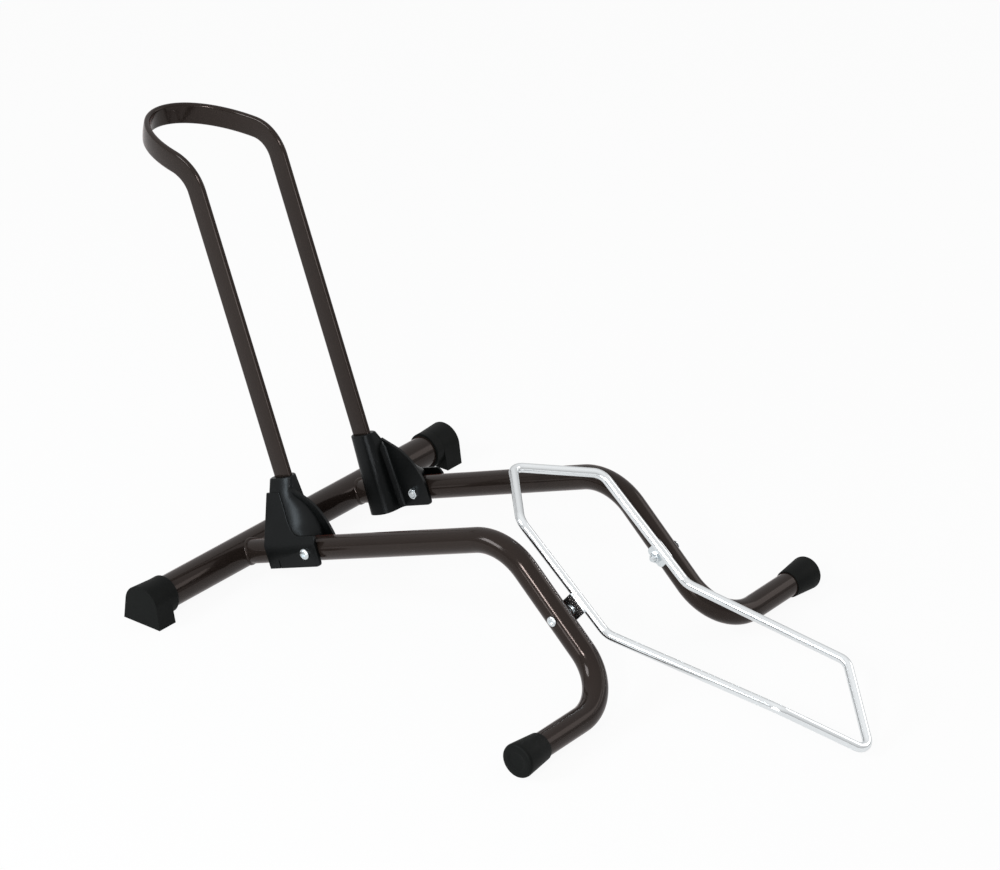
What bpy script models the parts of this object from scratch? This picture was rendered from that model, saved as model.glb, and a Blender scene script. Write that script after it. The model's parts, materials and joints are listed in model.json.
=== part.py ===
"""Floor stand that holds one bicycle wheel upright.

A tubular base lies on the floor: a thick crossbar at the back and two bent side
tubes that rise from it, come down again and turn outwards at the front. A flat
oval hoop stands in two plastic brackets on the side tubes and leans back over
the crossbar. A bent wire rocker hangs between the side tubes on two bolts. The
wheel rolls over its low front end and presses its high rear end down, so that
the front end swings up and holds the tyre.

The stand runs along X, with the wheel coming in from +X. Pieces on the -Y side
are named near and those on the +Y side far. Z = 0 is the floor, and the origin
is on the floor under the middle of the stand's whole length.
"""

import math

import bmesh
import bpy
from mathutils import Vector

# Sizes in metres and angles in degrees. X is measured from the crossbar's axis.

# Fit between separate pieces, and how far a cutting shape runs past what it cuts
GAP = 0.0003
CUT_PAST = 0.0100

# Crossbar and the feet on its ends
CROSSBAR_DIAMETER = 0.0340
CROSSBAR_WALL = 0.0015
STAND_WIDTH = 0.4792
FOOT_SOLE = 0.0031
FOOT_LENGTH = 0.0346
FOOT_BLOCK_LENGTH = 0.0236
FOOT_WALL = 0.0027
FOOT_END_WALL = 0.0030
FOOT_BASE_WIDTH = 0.0486
FOOT_END_FLARE = 0.0014
FOOT_EDGE_RADIUS = 0.0012

# Bent side tubes
TUBE_DIAMETER = 0.0254
TUBE_WALL = 0.0015
TUBE_SPACING = 0.1732
TUBE_START_DROP = 0.0016
TUBE_TOP_X = 0.3409
TUBE_TOP_HEIGHT = 0.1450
TUBE_TOP_BEND_RADIUS = 0.0600
TUBE_FRONT_X = 0.4769
TUBE_FRONT_BEND_RADIUS = 0.0550

# Flared caps on the side tubes' front ends
CAP_SPAN = 0.4786
CAP_LENGTH = 0.0354
CAP_MOUTH_WALL = 0.0014
CAP_FLARE_RADIUS = 0.0176
CAP_END_RADIUS = 0.0163
CAP_END_DEPTH = 0.0038
CAP_END_WALL = 0.0040
CAP_EDGE_ROUND = 0.0010

# Flat oval hoop
HOOP_SPACING = 0.1230
HOOP_WIDTH = 0.0233
HOOP_THICKNESS = 0.0070
HOOP_CROWN = 0.0005
HOOP_WALL = 0.0012
HOOP_HEIGHT = 0.3969
HOOP_BEND_RADIUS = 0.0383
HOOP_BEHIND_BOLT = 0.0415
HOOP_END_ABOVE_SOLE = 0.0075
ARCH_PITCH = 7.2
ARCH_START = 0.0045
ARCH_DEPTH = 0.0982

# Plastic brackets that carry the hoop, in the side tube's own directions:
# "along" runs up the tube from the bolt, "above" is square to it
BRACKET_BOLT_X = 0.0991
BRACKET_REAR = 0.0555
BRACKET_BELOW_TUBE = 0.0012
BRACKET_COLLAR_HEIGHT = 0.0710
BRACKET_SHOULDER_HEIGHT = 0.0586
BRACKET_ROOF_START = 0.0100
BRACKET_ROOF_SLOPE = 0.50
BRACKET_CHEEK_STEP = 0.0016
BRACKET_REAR_ROUND = 0.0050
BRACKET_EDGE_ROUND = 0.0008
BRACKET_PLATE_FRONT = 0.0165
BRACKET_PLATE_TOP = 0.0174
BRACKET_PLATE_ROUND = 0.0032
BRACKET_WEB_FRONT = 0.0177
BRACKET_CORNER_RADIUS = 0.0042
BRACKET_OUTER_WALL = 0.0034
BRACKET_LIP_WALL = 0.0022
BRACKET_INNER_WALL = 0.0030
BRACKET_RIDGE_SETBACK = 0.0085
SOCKET_WALL = 0.0030
SOCKET_DRAFT = 0.0045
SOCKET_CROWN_TOP = 0.0125
SOCKET_CROWN_BOTTOM = 0.0190
SOCKET_CROWN_POWER = 2.5
SOCKET_FILLET = 0.0060
COLLAR_ROUND = 0.0060

# Curved edges of the bracket as (along, above): the cheek's from the plate's top up to the
# shoulder, and the web's from its front edge up to the straight run that meets the collar
CHEEK_START = (-0.0070, BRACKET_PLATE_TOP + 0.0003)
CHEEK_PULL_LOW = (-0.0215, 0.0190)
CHEEK_PULL_HIGH = (-0.0270, 0.0420)
CHEEK_END = (-0.0385, 0.0600)
WEB_CURVE_START = (0.0174, 0.0056)
WEB_CURVE_PULL = (0.0112, 0.0366)
WEB_CURVE_END = (-0.0094, 0.0505)
WEB_RUN_END = (-0.0265, 0.0615)

# Snap lip at the rear of the bracket's lower edge
LATCH_SLIT_FROM_REAR = 0.0149
LATCH_SLIT_WIDTH = 0.0012
LATCH_SLIT_HEIGHT = 0.0093
LATCH_HOOK_REACH = 0.0044
LATCH_HOOK_EDGE = 0.0008
LATCH_HOOK_HEIGHT = 0.0034
LATCH_HOOK_INSET = 0.0010

# Wire rocker: its centre line, measured from the pivot. The long arms slope down to the front,
# a fixed distance above the bolts, between the shoulders and the knees.
WIRE_DIAMETER = 0.0095
WIRE_ABOVE_BOLT = 0.01445
ARM_PITCH = 39.9
SHOULDER_FROM_BOLT = 0.0973
KNEE_FROM_BOLT = 0.0406
REAR_ARM_RUN = 0.0612
REAR_ARM_RISE = 0.0135
FRONT_ARM_RUN = 0.1951
FRONT_ARM_DROP = 0.0156
TIP_RUN = 0.0677
ROCKER_TOE_SPREAD = 0.1154
ROCKER_FLOOR_GAP = 0.0005
REAR_APEX_RADIUS = 0.0110
SHOULDER_RADIUS = 0.0190
KNEE_RADIUS = 0.0220
TOE_RADIUS = 0.0200
FRONT_APEX_RADIUS = 0.0110

# Rocker pivots
PIVOT_DOWN_TUBE = 0.0926
PIVOT_ABOVE_AXIS = 0.0019
TAB_THICKNESS = 0.0018
TAB_LENGTH = 0.0230
TAB_BELOW_BOLT = 0.0068
TAB_BESIDE_WIRE = 0.0004
TAB_CORNER_RADIUS = 0.0050
WASHER_THICKNESS = 0.0012
WASHER_DIAMETER = 0.0120

# Bolts and nuts
BOLT_DIAMETER = 0.0060
BOLT_END_CHAMFER = 0.0006
BRACKET_HEAD_DIAMETER = 0.0116
BRACKET_HEAD_HEIGHT = 0.0033
PIVOT_HEAD_DIAMETER = 0.0105
PIVOT_HEAD_HEIGHT = 0.0022
NUT_WIDTH = 0.0100
NUT_HEIGHT = 0.0050
BOLT_PAST_NUT = 0.0018
PIVOT_BOLT_PAST_NUT = 0.0040

# Places that follow from the sizes
CROSSBAR_Z = FOOT_SOLE + CROSSBAR_DIAMETER / 2
TUBE_Y = TUBE_SPACING / 2
TUBE_R = TUBE_DIAMETER / 2
TUBE_START_Z = CROSSBAR_Z - TUBE_START_DROP
RISE = math.atan2(TUBE_TOP_HEIGHT - TUBE_START_Z, TUBE_TOP_X)
TUBE_FRONT_Z = CAP_FLARE_RADIUS
DESCENT = Vector((TUBE_FRONT_X - TUBE_TOP_X, 0.0, TUBE_FRONT_Z - TUBE_TOP_HEIGHT)).normalized()
BRACKET_BOLT = Vector((BRACKET_BOLT_X, 0.0, TUBE_START_Z + BRACKET_BOLT_X * math.tan(RISE)))
PIVOT = (Vector((TUBE_TOP_X, 0.0, TUBE_TOP_HEIGHT)) + DESCENT * PIVOT_DOWN_TUBE
         + Vector((-DESCENT.z, 0.0, DESCENT.x)) * PIVOT_ABOVE_AXIS)
CHANNEL_R = TUBE_R + GAP
BRACKET_SOLE = -(CHANNEL_R + BRACKET_BELOW_TUBE)
WEB_INNER_Y = TUBE_Y - CHANNEL_R - BRACKET_INNER_WALL
PLATE_OUTER_Y = TUBE_Y + CHANNEL_R + BRACKET_OUTER_WALL
HOOP_Y = HOOP_SPACING / 2
SOCKET_HALF_WIDTH = HOOP_WIDTH / 2 + GAP + SOCKET_WALL
HOLE_R = BOLT_DIAMETER / 2 + GAP
WASHER_INNER_Y = TUBE_Y - TUBE_R - GAP - WASHER_THICKNESS
TAB_INNER_Y = WASHER_INNER_Y - GAP - TAB_THICKNESS
WIRE_Y = TAB_INNER_Y - GAP - WIRE_DIAMETER / 2

ROUND_STEPS = 20
BEND_STEP = math.radians(10.0)
SIDES = (("near", -1.0), ("far", 1.0))


def clear_scene() -> None:
    """Remove every object and every unused mesh, curve and material."""
    for obj in list(bpy.data.objects):
        bpy.data.objects.remove(obj, do_unlink=True)
    for store in (bpy.data.meshes, bpy.data.curves, bpy.data.materials):
        for block in list(store):
            store.remove(block)


def material(name: str, color: tuple, roughness: float, metallic: float) -> bpy.types.Material:
    """Make one plain Principled material."""
    mat = bpy.data.materials.new(name)
    mat.use_nodes = True
    shader = mat.node_tree.nodes["Principled BSDF"]
    shader.inputs["Base Color"].default_value = (*color, 1.0)
    shader.inputs["Roughness"].default_value = roughness
    shader.inputs["Metallic"].default_value = metallic
    mat.diffuse_color = (*color, 1.0)
    return mat


def add_object(name: str, data, mat, location=(0.0, 0.0, 0.0), rotation=(0.0, 0.0, 0.0), parent=None):
    """Link one object for a mesh or curve, under a parent if one is given."""
    obj = bpy.data.objects.new(name, data)
    bpy.context.scene.collection.objects.link(obj)
    if data is not None and mat is not None:
        data.materials.clear()
        data.materials.append(mat)
    obj.location = location
    obj.rotation_euler = rotation
    obj.parent = parent
    return obj


def mesh_from(bm: bmesh.types.BMesh, name: str) -> bpy.types.Mesh:
    """Close a bmesh into a mesh whose faces point out, shaded smooth."""
    bmesh.ops.recalc_face_normals(bm, faces=bm.faces)
    mesh = bpy.data.meshes.new(name)
    bm.to_mesh(mesh)
    bm.free()
    mesh.shade_smooth()
    mesh.set_sharp_from_angle(angle=math.radians(32.0))
    return mesh


def skin(rings: list, inner: list | None = None) -> bmesh.types.BMesh:
    """Join rings of points into a closed solid, with a bore if inner rings are given."""
    bm = bmesh.new()

    def wall(loops):
        rows = [[bm.verts.new(p) for p in loop] for loop in loops]
        for low, high in zip(rows, rows[1:]):
            for i in range(len(low)):
                k = (i + 1) % len(low)
                bm.faces.new((low[i], low[k], high[k], high[i]))
        return rows

    outside = wall(rings)
    if inner is None:
        bm.faces.new(list(reversed(outside[0])))
        bm.faces.new(outside[-1])
        return bm
    inside = wall(inner)
    for out_ring, in_ring in ((outside[0], inside[0]), (outside[-1], inside[-1])):
        for i in range(len(out_ring)):
            k = (i + 1) % len(out_ring)
            bm.faces.new((out_ring[i], out_ring[k], in_ring[k], in_ring[i]))
    return bm


def circle(radius: float, steps: int = ROUND_STEPS) -> list:
    """Points of a circle in its own plane, one of them straight down."""
    return [Vector((radius * math.cos(2 * math.pi * i / steps), radius * math.sin(2 * math.pi * i / steps)))
            for i in range(steps)]


def flat_oval(width: float, thickness: float, steps: int = 4, face_steps: int = 3) -> list:
    """Points of an oval with round ends and slightly crowned faces, its width along the first axis."""
    r = thickness / 2 - HOOP_CROWN
    reach = width / 2 - r
    points = []
    for centre, start in ((reach, -90.0), (-reach, 90.0)):
        for i in range(steps + 1):
            a = math.radians(start + 180.0 * i / steps)
            points.append(Vector((centre + r * math.cos(a), r * math.sin(a))))
        sign = math.copysign(1.0, centre)
        for i in range(1, face_steps):
            x = sign * reach * (1.0 - 2.0 * i / face_steps)
            points.append(Vector((x, sign * (r + HOOP_CROWN * (1.0 - (x / reach) ** 2)))))
    return points


def rounded_box(x0: float, x1: float, y0: float, y1: float, radii: tuple, steps: int = 4) -> list:
    """Points of a rectangle whose corners (x0y0, x1y0, x1y1, x0y1) have their own radii."""
    corners = ((x0, y0, 180.0, 1, 1), (x1, y0, 270.0, -1, 1), (x1, y1, 0.0, -1, -1), (x0, y1, 90.0, 1, -1))
    points = []
    for (x, y, start, sx, sy), r in zip(corners, radii):
        for i in range(steps + 1):
            a = math.radians(start + 90.0 * i / steps)
            points.append(Vector((x + sx * r + r * math.cos(a), y + sy * r + r * math.sin(a))))
    return points


def fillet_path(corners: list, radii: list, closed: bool = False) -> list:
    """Round the corners of a path of straight runs, each by its own bend radius."""
    points = []
    count = len(corners)
    for i, here in enumerate(corners):
        if not closed and i in (0, count - 1):
            points.append(here.copy())
            continue
        back = (corners[i - 1] - here).normalized()
        ahead = (corners[(i + 1) % count] - here).normalized()
        corner = back.angle(ahead)
        radius = radii[i]
        reach = radius / math.tan(corner / 2)
        centre = here + (back + ahead).normalized() * (radius / math.sin(corner / 2))
        turn = math.pi - corner
        steps = max(2, math.ceil(turn / BEND_STEP))
        from_centre = here + back * reach - centre
        across = (here + ahead * reach - centre) - from_centre * math.cos(turn)
        across.normalize()
        for k in range(steps + 1):
            a = turn * k / steps
            points.append(centre + from_centre * math.cos(a) + across * (radius * math.sin(a)))
    return points


def tangents(points: list) -> list:
    """Direction of a path at each of its points, halfway between its two runs."""
    result = []
    for i in range(len(points)):
        before = (points[i] - points[max(i - 1, 0)]).normalized()
        after = (points[min(i + 1, len(points) - 1)] - points[i]).normalized()
        result.append((before + after).normalized())
    return result


def round_rings(points: list, radius: float) -> list:
    """Circles along a path, without twist."""
    rings = []
    side = (points[1] - points[0]).orthogonal()
    for point, along in zip(points, tangents(points)):
        side = (side - along * side.dot(along)).normalized()
        up = along.cross(side)
        rings.append([point + side * c.x + up * c.y for c in circle(radius)])
    return rings


def oval_rings(points: list, widths: list, width: float, thickness: float) -> list:
    """Flat ovals along a path, each with its width along its own given direction."""
    rings = []
    for point, along, wide in zip(points, tangents(points), widths):
        wide = (wide - along * wide.dot(along)).normalized()
        thin = along.cross(wide)
        rings.append([point + wide * c.x + thin * c.y for c in flat_oval(width, thickness)])
    return rings


def turned(profile: list, steps: int = ROUND_STEPS) -> bmesh.types.BMesh:
    """Turn (distance along Y, radius) pairs about the Y axis."""
    return skin([[Vector((c.x, y, -c.y)) for c in circle(r, steps)] for y, r in profile])


def slab(outline: list, y0: float, y1: float) -> bmesh.types.BMesh:
    """Extrude an outline in X and Z from y0 to y1."""
    return skin([[Vector((p[0], y, p[1])) for p in outline] for y in (y0, y1)])


def tool(bm: bmesh.types.BMesh, location=(0.0, 0.0, 0.0), rotation=(0.0, 0.0, 0.0)):
    """Make a working object for a union or a cut."""
    obj = add_object("working_tool", mesh_from(bm, "working_tool"), None, location, rotation)
    obj.hide_render = True
    obj.display_type = "WIRE"
    return obj


def combine(bm: bmesh.types.BMesh, name: str, steps: list) -> bpy.types.Mesh:
    """Apply unions and cuts to a solid in order, and return its finished mesh."""
    base = add_object(name + "_base", mesh_from(bm, name), None)
    for operation, other in steps:
        modifier = base.modifiers.new(operation.lower(), "BOOLEAN")
        modifier.operation = operation
        modifier.solver = "EXACT"
        modifier.object = other
    bpy.context.view_layer.update()
    depsgraph = bpy.context.evaluated_depsgraph_get()
    mesh = bpy.data.meshes.new_from_object(base.evaluated_get(depsgraph))
    mesh.name = name
    old = base.data
    bpy.data.objects.remove(base, do_unlink=True)
    bpy.data.meshes.remove(old)
    for _, other in steps:
        used = other.data
        bpy.data.objects.remove(other, do_unlink=True)
        bpy.data.meshes.remove(used)
    mesh.shade_smooth()
    mesh.set_sharp_from_angle(angle=math.radians(32.0))
    return mesh


def cross_hole(at: Vector, radius: float, y0: float, y1: float):
    """A round cutter along Y."""
    return tool(turned([(y0, radius), (y1, radius)]), (at.x, 0.0, at.z))


def crossbar_mesh() -> bpy.types.Mesh:
    """Straight tube along Y, centred on the origin."""
    half = STAND_WIDTH / 2 - FOOT_END_WALL - GAP
    path = [Vector((0.0, -half, 0.0)), Vector((0.0, half, 0.0))]
    bore = CROSSBAR_DIAMETER / 2 - CROSSBAR_WALL
    return mesh_from(skin(round_rings(path, CROSSBAR_DIAMETER / 2), round_rings(path, bore)), "crossbar")


def side_tube_path(side: float) -> list:
    """Centre line of a side tube, from inside the crossbar to the front cap's end wall."""
    end_y = CAP_SPAN / 2 - CAP_END_WALL - GAP
    corners = [Vector((0.0, side * TUBE_Y, TUBE_START_Z)),
               Vector((TUBE_TOP_X, side * TUBE_Y, TUBE_TOP_HEIGHT)),
               Vector((TUBE_FRONT_X, side * TUBE_Y, TUBE_FRONT_Z)),
               Vector((TUBE_FRONT_X, side * end_y, TUBE_FRONT_Z))]
    return fillet_path(corners, [0.0, TUBE_TOP_BEND_RADIUS, TUBE_FRONT_BEND_RADIUS, 0.0])


def side_tube_mesh(side: float) -> bpy.types.Mesh:
    """Bent tube, coped round the crossbar and drilled for its two bolts."""
    path = side_tube_path(side)
    body = skin(round_rings(path, TUBE_R), round_rings(path, TUBE_R - TUBE_WALL))
    cope_r = CROSSBAR_DIAMETER / 2 + GAP
    reach = STAND_WIDTH / 2
    return combine(body, "side_tube", [
        ("DIFFERENCE", cross_hole(Vector((0.0, 0.0, CROSSBAR_Z)), cope_r, -reach, reach)),
        ("DIFFERENCE", cross_hole(BRACKET_BOLT, HOLE_R, -reach, reach)),
        ("DIFFERENCE", cross_hole(PIVOT, HOLE_R, -reach, reach))])


def foot_outline(radius: float) -> list:
    """End view of a foot: round over the crossbar, then straight sides down to the wide sole."""
    half_base = FOOT_BASE_WIDTH / 2
    drop = CROSSBAR_Z
    length = math.hypot(half_base, drop)
    tilt = math.atan2(drop, -half_base) - math.asin(radius / length)
    touch = math.sqrt(length ** 2 - radius ** 2)
    tangent = Vector((half_base + touch * math.cos(tilt), -drop + touch * math.sin(tilt)))
    first = math.atan2(tangent.y, tangent.x)
    steps = 14
    arc = [(radius * math.cos(first + (math.pi - 2 * first) * i / steps),
            radius * math.sin(first + (math.pi - 2 * first) * i / steps)) for i in range(steps + 1)]
    return arc + [(-half_base, -drop), (half_base, -drop)]


def foot_mesh() -> bpy.types.Mesh:
    """End cap of the crossbar for the +Y end: a round sleeve, then a block with a flat sole."""
    radius = CROSSBAR_DIAMETER / 2 + GAP + FOOT_WALL
    end = STAND_WIDTH / 2
    block = skin([[Vector((x, y, z)) for x, z in foot_outline(radius + flare)]
                  for y, flare in ((end - FOOT_BLOCK_LENGTH, 0.0), (end, FOOT_END_FLARE))])
    rim = [e for e in block.edges if all(abs(v.co.y - end) < 1e-6 for v in e.verts)]
    bmesh.ops.bevel(block, geom=rim, offset=FOOT_EDGE_RADIUS, segments=2, profile=0.5, affect="EDGES")
    start = end - FOOT_LENGTH
    sleeve = tool(turned([(start, radius), (end - FOOT_BLOCK_LENGTH / 2, radius)]))
    bore_r = CROSSBAR_DIAMETER / 2 + GAP
    bore = tool(turned([(start - CUT_PAST, bore_r), (end - FOOT_END_WALL, bore_r)]))
    return combine(block, "foot", [("UNION", sleeve), ("DIFFERENCE", bore)])


def cap_mesh() -> bpy.types.Mesh:
    """Flared rubber cap for a front tube end, for the +Y side."""
    start = CAP_SPAN / 2 - CAP_LENGTH
    end = CAP_SPAN / 2
    bore_r = TUBE_R + GAP
    flare_y = end - CAP_END_DEPTH
    profile = [(start, bore_r + CAP_MOUTH_WALL), (flare_y, CAP_FLARE_RADIUS),
               (end - CAP_END_DEPTH * 0.25, CAP_END_RADIUS + (CAP_FLARE_RADIUS - CAP_END_RADIUS) * 0.55),
               (end, CAP_END_RADIUS - CAP_EDGE_ROUND)]
    bore = tool(turned([(start - CUT_PAST, bore_r), (end - CAP_END_WALL, bore_r)]))
    return combine(turned(profile, 28), "front_cap", [("DIFFERENCE", bore)])


def tube_frame(along: float, above: float, y: float = 0.0) -> Vector:
    """A place given along and above the side tube from the bracket's bolt."""
    return Vector((BRACKET_BOLT.x + along * math.cos(RISE) - above * math.sin(RISE), y,
                   BRACKET_BOLT.z + along * math.sin(RISE) + above * math.cos(RISE)))


def hoop_path() -> tuple:
    """Centre line of the hoop from the near leg's end to the far leg's, with the tube's width direction."""
    foot = tube_frame(-HOOP_BEHIND_BOLT, BRACKET_SOLE + HOOP_END_ABOVE_SOLE, -HOOP_Y)
    bend = tube_frame(-HOOP_BEHIND_BOLT, HOOP_HEIGHT, -HOOP_Y)
    pitch = math.radians(ARCH_PITCH)
    back = Vector((-math.cos(pitch), 0.0, math.sin(pitch)))
    leg = (bend - foot).normalized()
    half = fillet_path([foot, bend, bend + back * ARCH_DEPTH], [0.0, HOOP_BEND_RADIUS, 0.0])[:-1]
    normal = Vector((back.z, 0.0, -back.x))
    across = Vector((leg.z, 0.0, -leg.x))
    widths = [across]
    for point in half[1:]:
        share = (half.index(point) - 1) / (len(half) - 2)
        widths.append(across.lerp(normal, share).normalized())
        run = (point - bend).dot(back) - ARCH_START
        if run > 0.0:
            point.y = -HOOP_Y * math.sqrt(1.0 - (run / ARCH_DEPTH) ** 2)
    last = math.asin(min(1.0, ((half[-1] - bend).dot(back) - ARCH_START) / ARCH_DEPTH))
    arch = []
    steps = 18
    for i in range(1, steps):
        a = last + (math.pi - 2 * last) * i / steps
        place = bend + back * (ARCH_START + ARCH_DEPTH * math.sin(a))
        arch.append(Vector((place.x, -HOOP_Y * math.cos(a), place.z)))
    mirrored = [Vector((p.x, -p.y, p.z)) for p in reversed(half)]
    return half + arch + mirrored, widths + [normal] * len(arch) + list(reversed(widths))


def hoop_mesh() -> bpy.types.Mesh:
    """Flat oval tube bent into two legs and an arch."""
    path, widths = hoop_path()
    inner_width = HOOP_WIDTH - 2 * HOOP_WALL
    inner_thickness = HOOP_THICKNESS - 2 * HOOP_WALL
    return mesh_from(skin(oval_rings(path, widths, HOOP_WIDTH, HOOP_THICKNESS),
                          oval_rings(path, widths, inner_width, inner_thickness)), "hoop")


def roof_y(above: float) -> float:
    """Outer face of the bracket's roof at a height above the tube's axis."""
    return PLATE_OUTER_Y - BRACKET_ROOF_SLOPE * max(0.0, above - BRACKET_ROOF_START)


def level(above: float, points: list, side: float) -> list:
    """A ring in the bracket's frame, from points (along, distance from the middle plane)."""
    return [Vector((p[0], side * p[1], above)) for p in points]


def curve_point(controls: tuple, t: float) -> tuple:
    """Point of a Bezier curve with any number of control points."""
    points = list(controls)
    while len(points) > 1:
        points = [tuple((1 - t) * a + t * b for a, b in zip(p, q)) for p, q in zip(points, points[1:])]
    return points[0]


def curve_points(controls: tuple, steps: int) -> list:
    """Points spread along a Bezier curve, both ends included."""
    return [curve_point(controls, i / steps) for i in range(steps + 1)]


def along_at(controls: tuple, above: float) -> float:
    """How far along the tube a rising curve is at a height above its axis."""
    low, high = 0.0, 1.0
    for _ in range(40):
        middle = (low + high) / 2
        if curve_point(controls, middle)[1] < above:
            low = middle
        else:
            high = middle
    return curve_point(controls, low)[0]


def cheek_edge(above: float) -> float:
    """Front edge of the bracket's cheek."""
    return along_at((CHEEK_START, CHEEK_PULL_LOW, CHEEK_PULL_HIGH, CHEEK_END), above)


def web_edge(above: float) -> float:
    """Front edge of the bracket's inner plate above its straight front."""
    if above > WEB_CURVE_END[1]:
        return along_at((WEB_CURVE_END, WEB_RUN_END), above)
    return along_at((WEB_CURVE_START, WEB_CURVE_PULL, WEB_CURVE_END), above)


def corner_arc(x: float, z: float, radius: float, steps: int = 3) -> list:
    """Rounded lower front corner of a plate, from its sole to its front edge."""
    return [(x - radius + radius * math.sin(math.radians(90.0 * i / steps)),
             z + radius - radius * math.cos(math.radians(90.0 * i / steps))) for i in range(steps + 1)]


def body_ring(above: float) -> list:
    """Section through the bracket's body: a crowned socket column inside, a round ridge outside."""
    rise = (above - BRACKET_SOLE) / (BRACKET_COLLAR_HEIGHT - BRACKET_SOLE)
    rear = -BRACKET_REAR
    outer = roof_y(above) - BRACKET_CHEEK_STEP
    base = HOOP_Y + HOOP_THICKNESS / 2
    buried = min(WEB_INNER_Y + BRACKET_INNER_WALL / 2, max(base + GAP, outer - COLLAR_ROUND))
    socket_front = -HOOP_BEHIND_BOLT + SOCKET_HALF_WIDTH + SOCKET_DRAFT * (1.0 - rise)
    height = max(above, BRACKET_PLATE_TOP)
    edge = web_edge(height)
    ridge_front = max(socket_front + GAP, edge - BRACKET_RIDGE_SETBACK)
    ridge_start = min(cheek_edge(height) - BRACKET_LIP_WALL, ridge_front - GAP)
    fillet = min(SOCKET_FILLET, max(GAP, (edge - socket_front) / 2))
    fillet_y = min(buried, WEB_INNER_Y + GAP) - fillet
    ring = []
    for i in range(4):
        a = math.radians(180.0 - 30.0 * i)
        ring.append((rear + BRACKET_REAR_ROUND * (1 + math.cos(a)),
                     outer - BRACKET_REAR_ROUND * (1 - math.sin(a))))
    for i in range(10):
        a = math.radians(10.0 * i)
        ring.append((ridge_start + (ridge_front - ridge_start) * math.sin(a),
                     buried + (outer - buried) * math.cos(a)))
    centre = (rear + socket_front) / 2
    half = (socket_front - rear) / 2
    crown = SOCKET_CROWN_BOTTOM + (SOCKET_CROWN_TOP - SOCKET_CROWN_BOTTOM) * rise
    for i in range(4):
        a = math.radians(90.0 + 30.0 * i)
        ring.append((socket_front + fillet * (1 + math.cos(a)), fillet_y + fillet * math.sin(a)))
    for i in range(15):
        a = math.pi * i / 14
        wide = math.copysign(abs(math.cos(a)) ** (2 / SOCKET_CROWN_POWER), math.cos(a))
        ring.append((centre + half * wide, base - crown * math.sin(a) ** (2 / SOCKET_CROWN_POWER)))
    return ring


def body(side: float) -> bmesh.types.BMesh:
    """Solid body of the bracket from its sole to the collar round the hoop's leg."""
    climb = BRACKET_COLLAR_HEIGHT - BRACKET_EDGE_ROUND - BRACKET_PLATE_TOP
    heights = [BRACKET_SOLE, BRACKET_ROOF_START] + [BRACKET_PLATE_TOP + climb * i / 9 for i in range(10)]
    rings = [level(above, body_ring(above), side) for above in heights]
    rim = []
    for x, y in body_ring(BRACKET_COLLAR_HEIGHT):
        inwards = Vector((-HOOP_BEHIND_BOLT - x, HOOP_Y - y)).normalized() * BRACKET_EDGE_ROUND
        rim.append((x + inwards.x, y + inwards.y))
    return skin(rings + [level(BRACKET_COLLAR_HEIGHT, rim, side)])


def outer_wall(side: float) -> bmesh.types.BMesh:
    """Plate outside the tube and the cheek above it, which lies on the body's sloping side."""
    front, top, soft = BRACKET_PLATE_FRONT, BRACKET_PLATE_TOP, BRACKET_PLATE_ROUND
    edge = corner_arc(front, BRACKET_SOLE, BRACKET_CORNER_RADIUS) + [(front, BRACKET_ROOF_START)]
    edge += [(front - soft + soft * math.cos(a), top - soft + soft * math.sin(a))
             for a in (math.radians(30.0 * i) for i in range(4))]
    controls = (CHEEK_START, CHEEK_PULL_LOW, CHEEK_PULL_HIGH, CHEEK_END)
    edge += [p for p in curve_points(controls, 12) if p[1] < BRACKET_SHOULDER_HEIGHT]
    edge.append((cheek_edge(BRACKET_SHOULDER_HEIGHT), BRACKET_SHOULDER_HEIGHT))
    rings = []
    for x, above in edge:
        outer = roof_y(above)
        share = min(1.0, max(0.0, (above - BRACKET_ROOF_START) / (top - BRACKET_ROOF_START)))
        wall = BRACKET_OUTER_WALL + (BRACKET_LIP_WALL - BRACKET_OUTER_WALL) * share
        radii = (GAP, GAP, BRACKET_EDGE_ROUND, BRACKET_EDGE_ROUND)
        rings.append(level(above, rounded_box(-BRACKET_REAR - GAP, x, outer - wall, outer, radii, 2), side))
    return skin(rings)


def web(side: float) -> bmesh.types.BMesh:
    """Inner plate beside the side tube, with a bowed front edge up to the collar."""
    rear = -BRACKET_REAR + BRACKET_REAR_ROUND
    outline = [(rear, BRACKET_SOLE)] + corner_arc(BRACKET_WEB_FRONT, BRACKET_SOLE, BRACKET_CORNER_RADIUS)
    outline += curve_points((WEB_CURVE_START, WEB_CURVE_PULL, WEB_CURVE_END), 9)
    hidden = (WEB_RUN_END[0] - COLLAR_ROUND, WEB_RUN_END[1] - COLLAR_ROUND / 2)
    outline += [WEB_RUN_END, hidden, (rear, hidden[1])]
    return slab(outline, side * WEB_INNER_Y, side * (WEB_INNER_Y + BRACKET_INNER_WALL))


def box(x0: float, x1: float, y0: float, y1: float, z0: float, z1: float) -> bmesh.types.BMesh:
    """A plain box between two corners."""
    return slab([(x0, z0), (x1, z0), (x1, z1), (x0, z1)], y0, y1)


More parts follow.
